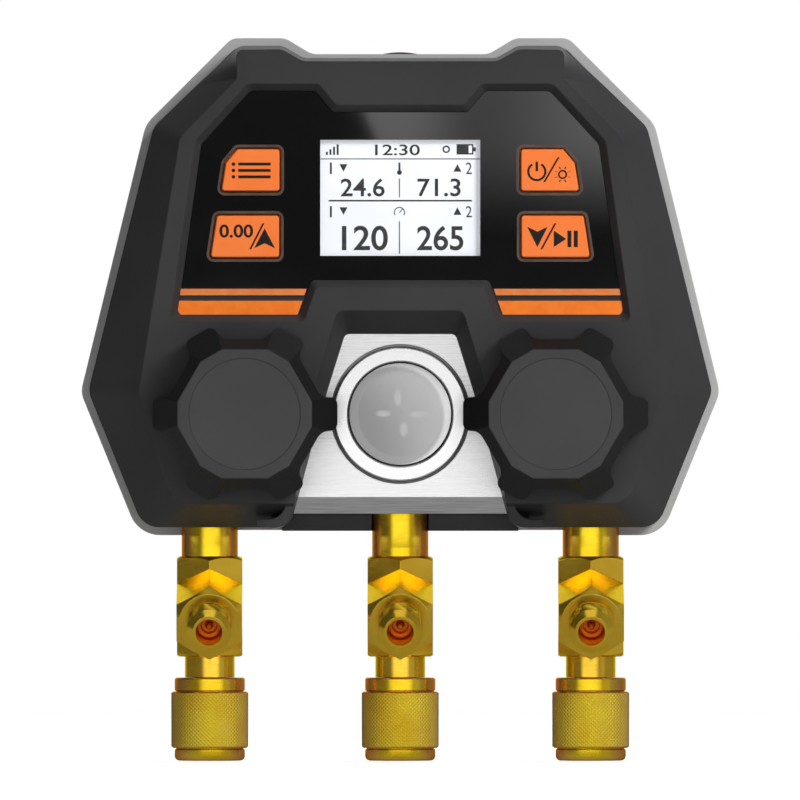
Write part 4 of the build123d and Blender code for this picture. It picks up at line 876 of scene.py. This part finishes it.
def reflector(name, corners, strength, ramps=()):
    # white card that only glossy surfaces see, from the side turned to its aim: it shapes reflections
    material = bpy.data.materials.new(name + "Card")
    material.use_nodes = True
    tree = material.node_tree
    tree.nodes.clear()
    glow = addNode(tree, "ShaderNodeEmission", {"Color": (1, 1, 1, 1), "Strength": strength})
    clear = addNode(tree, "ShaderNodeBsdfTransparent")
    level = addNode(tree, "ShaderNodeNewGeometry").outputs["Backfacing"]
    place = addNode(tree, "ShaderNodeTexCoord")
    axes = addNode(tree, "ShaderNodeSeparateXYZ", {0: place.outputs["Object"]})
    for axis, start, end, low, high in ramps:  # one fade along x or z between two places, in metres
        ramp = addNode(tree, "ShaderNodeMapRange", {
            "Value": axes.outputs[axis], "From Min": start, "From Max": end, "To Min": low, "To Max": high},
            interpolation_type="SMOOTHSTEP")
        faded = addNode(tree, "ShaderNodeMath", {0: level, 1: ramp.outputs[0]}, operation="MULTIPLY")
        level = faded.outputs[0]
    shade = addNode(tree, "ShaderNodeMixShader", {0: level, 1: clear.outputs[0], 2: glow.outputs[0]})
    addNode(tree, "ShaderNodeOutputMaterial", {"Surface": shade.outputs[0]})
    card = meshObject(name, corners, [(0, 1, 2, 3)], material)
    card.visible_camera = False
    card.visible_diffuse = False
    card.visible_shadow = False
    card.visible_transmission = False
    card.visible_volume_scatter = False
    return card


def squareCard(centre, aim, width, height):
    turn = (Vector(aim) - Vector(centre)).to_track_quat("-Z", "Y")
    return [tuple(Vector(centre) + turn @ Vector((x * width / 2, z * height / 2, 0)))
            for x, z in ((-1, -1), (1, -1), (1, 1), (-1, 1))]


frontLook = {"left": -0.3, "right": 0.32, "bottom": -0.30, "top": 0.03, "depth": 0.32, "strength": 1.4,
             "ramps": (("X", -0.29, -0.13, 0.0, 1.0), ("X", 0.32, 0.14, 0.0, 1.0))}
panelLook = {"outline": ((0.0047, 0.045), (0.064, 0.045), (0.064, 0.095), (-0.0168, 0.095)), "depth": 0.30,
             "strength": 2.7, "ramps": (("X", 0.0, 0.02, 1.0, 0.42), ("X", 0.02, 0.055, 1.0, 2.2),
                                        ("Z", 0.045, 0.075, 0.0, 1.0))}
flatCardLook = {"reach": 0.0215, "depth": 0.0375, "height": -0.0304, "width": 0.013, "length": 0.014,
                "strength": 2.6}

# low front card, soft at both ends: the bright upright band on the brass, the sheen of block and bezel
frontOutline = block(frontLook["left"], frontLook["bottom"], frontLook["right"], frontLook["top"])
reflector("frontCard", [(x, -frontLook["depth"], z) for x, z in frontOutline], frontLook["strength"],
          frontLook["ramps"])
# slanted card over the panel's upper right: the glare that fades to the right
reflector("panelCard", [(x, -panelLook["depth"], z) for x, z in panelLook["outline"]], panelLook["strength"],
          panelLook["ramps"])
reflector("rightCard", squareCard((0.54, -0.36, -0.09), (0, -0.03, -0.05), 0.22, 0.40), 0.5)
# small cards beside the tubes, just under the case: they light the upper flats of the tees
for label, centreX in ports.items():
    for turn in (-1, 1):
        across = centreX * mm + turn * flatCardLook["reach"]
        corners = squareCard((across, -flatCardLook["depth"], flatCardLook["height"]),
                             (across, -flatCardLook["depth"], -1), flatCardLook["width"],
                             flatCardLook["length"])
        reflector(f"{label}FlatCard{turn + 1}", corners, flatCardLook["strength"])
# dark cards seen from above only: one under the chamfer of the block, one over the floor
reflector("chamferFlag", squareCard((0, -0.045, -0.0335), (0, -0.045, 1), 0.08, 0.05), 0.24)
floorFlagSide = studio["floorSize"]
reflector("floorFlag", squareCard((0, 0, -0.0871), (0, 0, 1), floorFlagSide, floorFlagSide), 0.33)
reflector("topCard", squareCard((0, -0.5, 0.95), (0, 0, -0.05), 0.8, 0.5), 0.8)

roomLook = {"colour": "#BFC1C4", "diffuse": 0.34, "glossyLeft": 0.12, "glossyRight": 0.45}

world = bpy.data.worlds.new("studioRoom")
bpy.context.scene.world = world
world.use_nodes = True
room = world.node_tree
room.nodes.clear()
direction = addNode(room, "ShaderNodeTexCoord")
axes = addNode(room, "ShaderNodeSeparateXYZ", {0: direction.outputs["Generated"]})
behind = addNode(room, "ShaderNodeMapRange", {"Value": axes.outputs["Y"], "From Min": 0.6, "From Max": 0.97,
                                              "To Min": 0.0, "To Max": 1.0})
rays = addNode(room, "ShaderNodeLightPath")
share = seenRays(room, rays, behind.outputs[0])
# metal sees a darker room on the left than on the right
side = addNode(room, "ShaderNodeMapRange", {"Value": axes.outputs["X"], "From Min": -0.5, "From Max": 0.7,
                                            "To Min": roomLook["glossyLeft"],
                                            "To Max": roomLook["glossyRight"]})
level = addNode(room, "ShaderNodeMix", {0: rays.outputs["Is Glossy Ray"], 2: roomLook["diffuse"],
                                        3: side.outputs[0]}, data_type="FLOAT")
roomLight = addNode(room, "ShaderNodeBackground", {"Color": linear(roomLook["colour"]),
                                                   "Strength": level.outputs[0]})
backdrop = addNode(room, "ShaderNodeBackground", {"Color": (1, 1, 1, 1), "Strength": 1.0})
mixed = addNode(room, "ShaderNodeMixShader", {0: share.outputs[0], 1: roomLight.outputs[0],
                                              2: backdrop.outputs[0]})
addNode(room, "ShaderNodeOutputWorld", {"Surface": mixed.outputs[0]})

bpy.context.scene.view_settings.view_transform = "Standard"
print("studio ready")
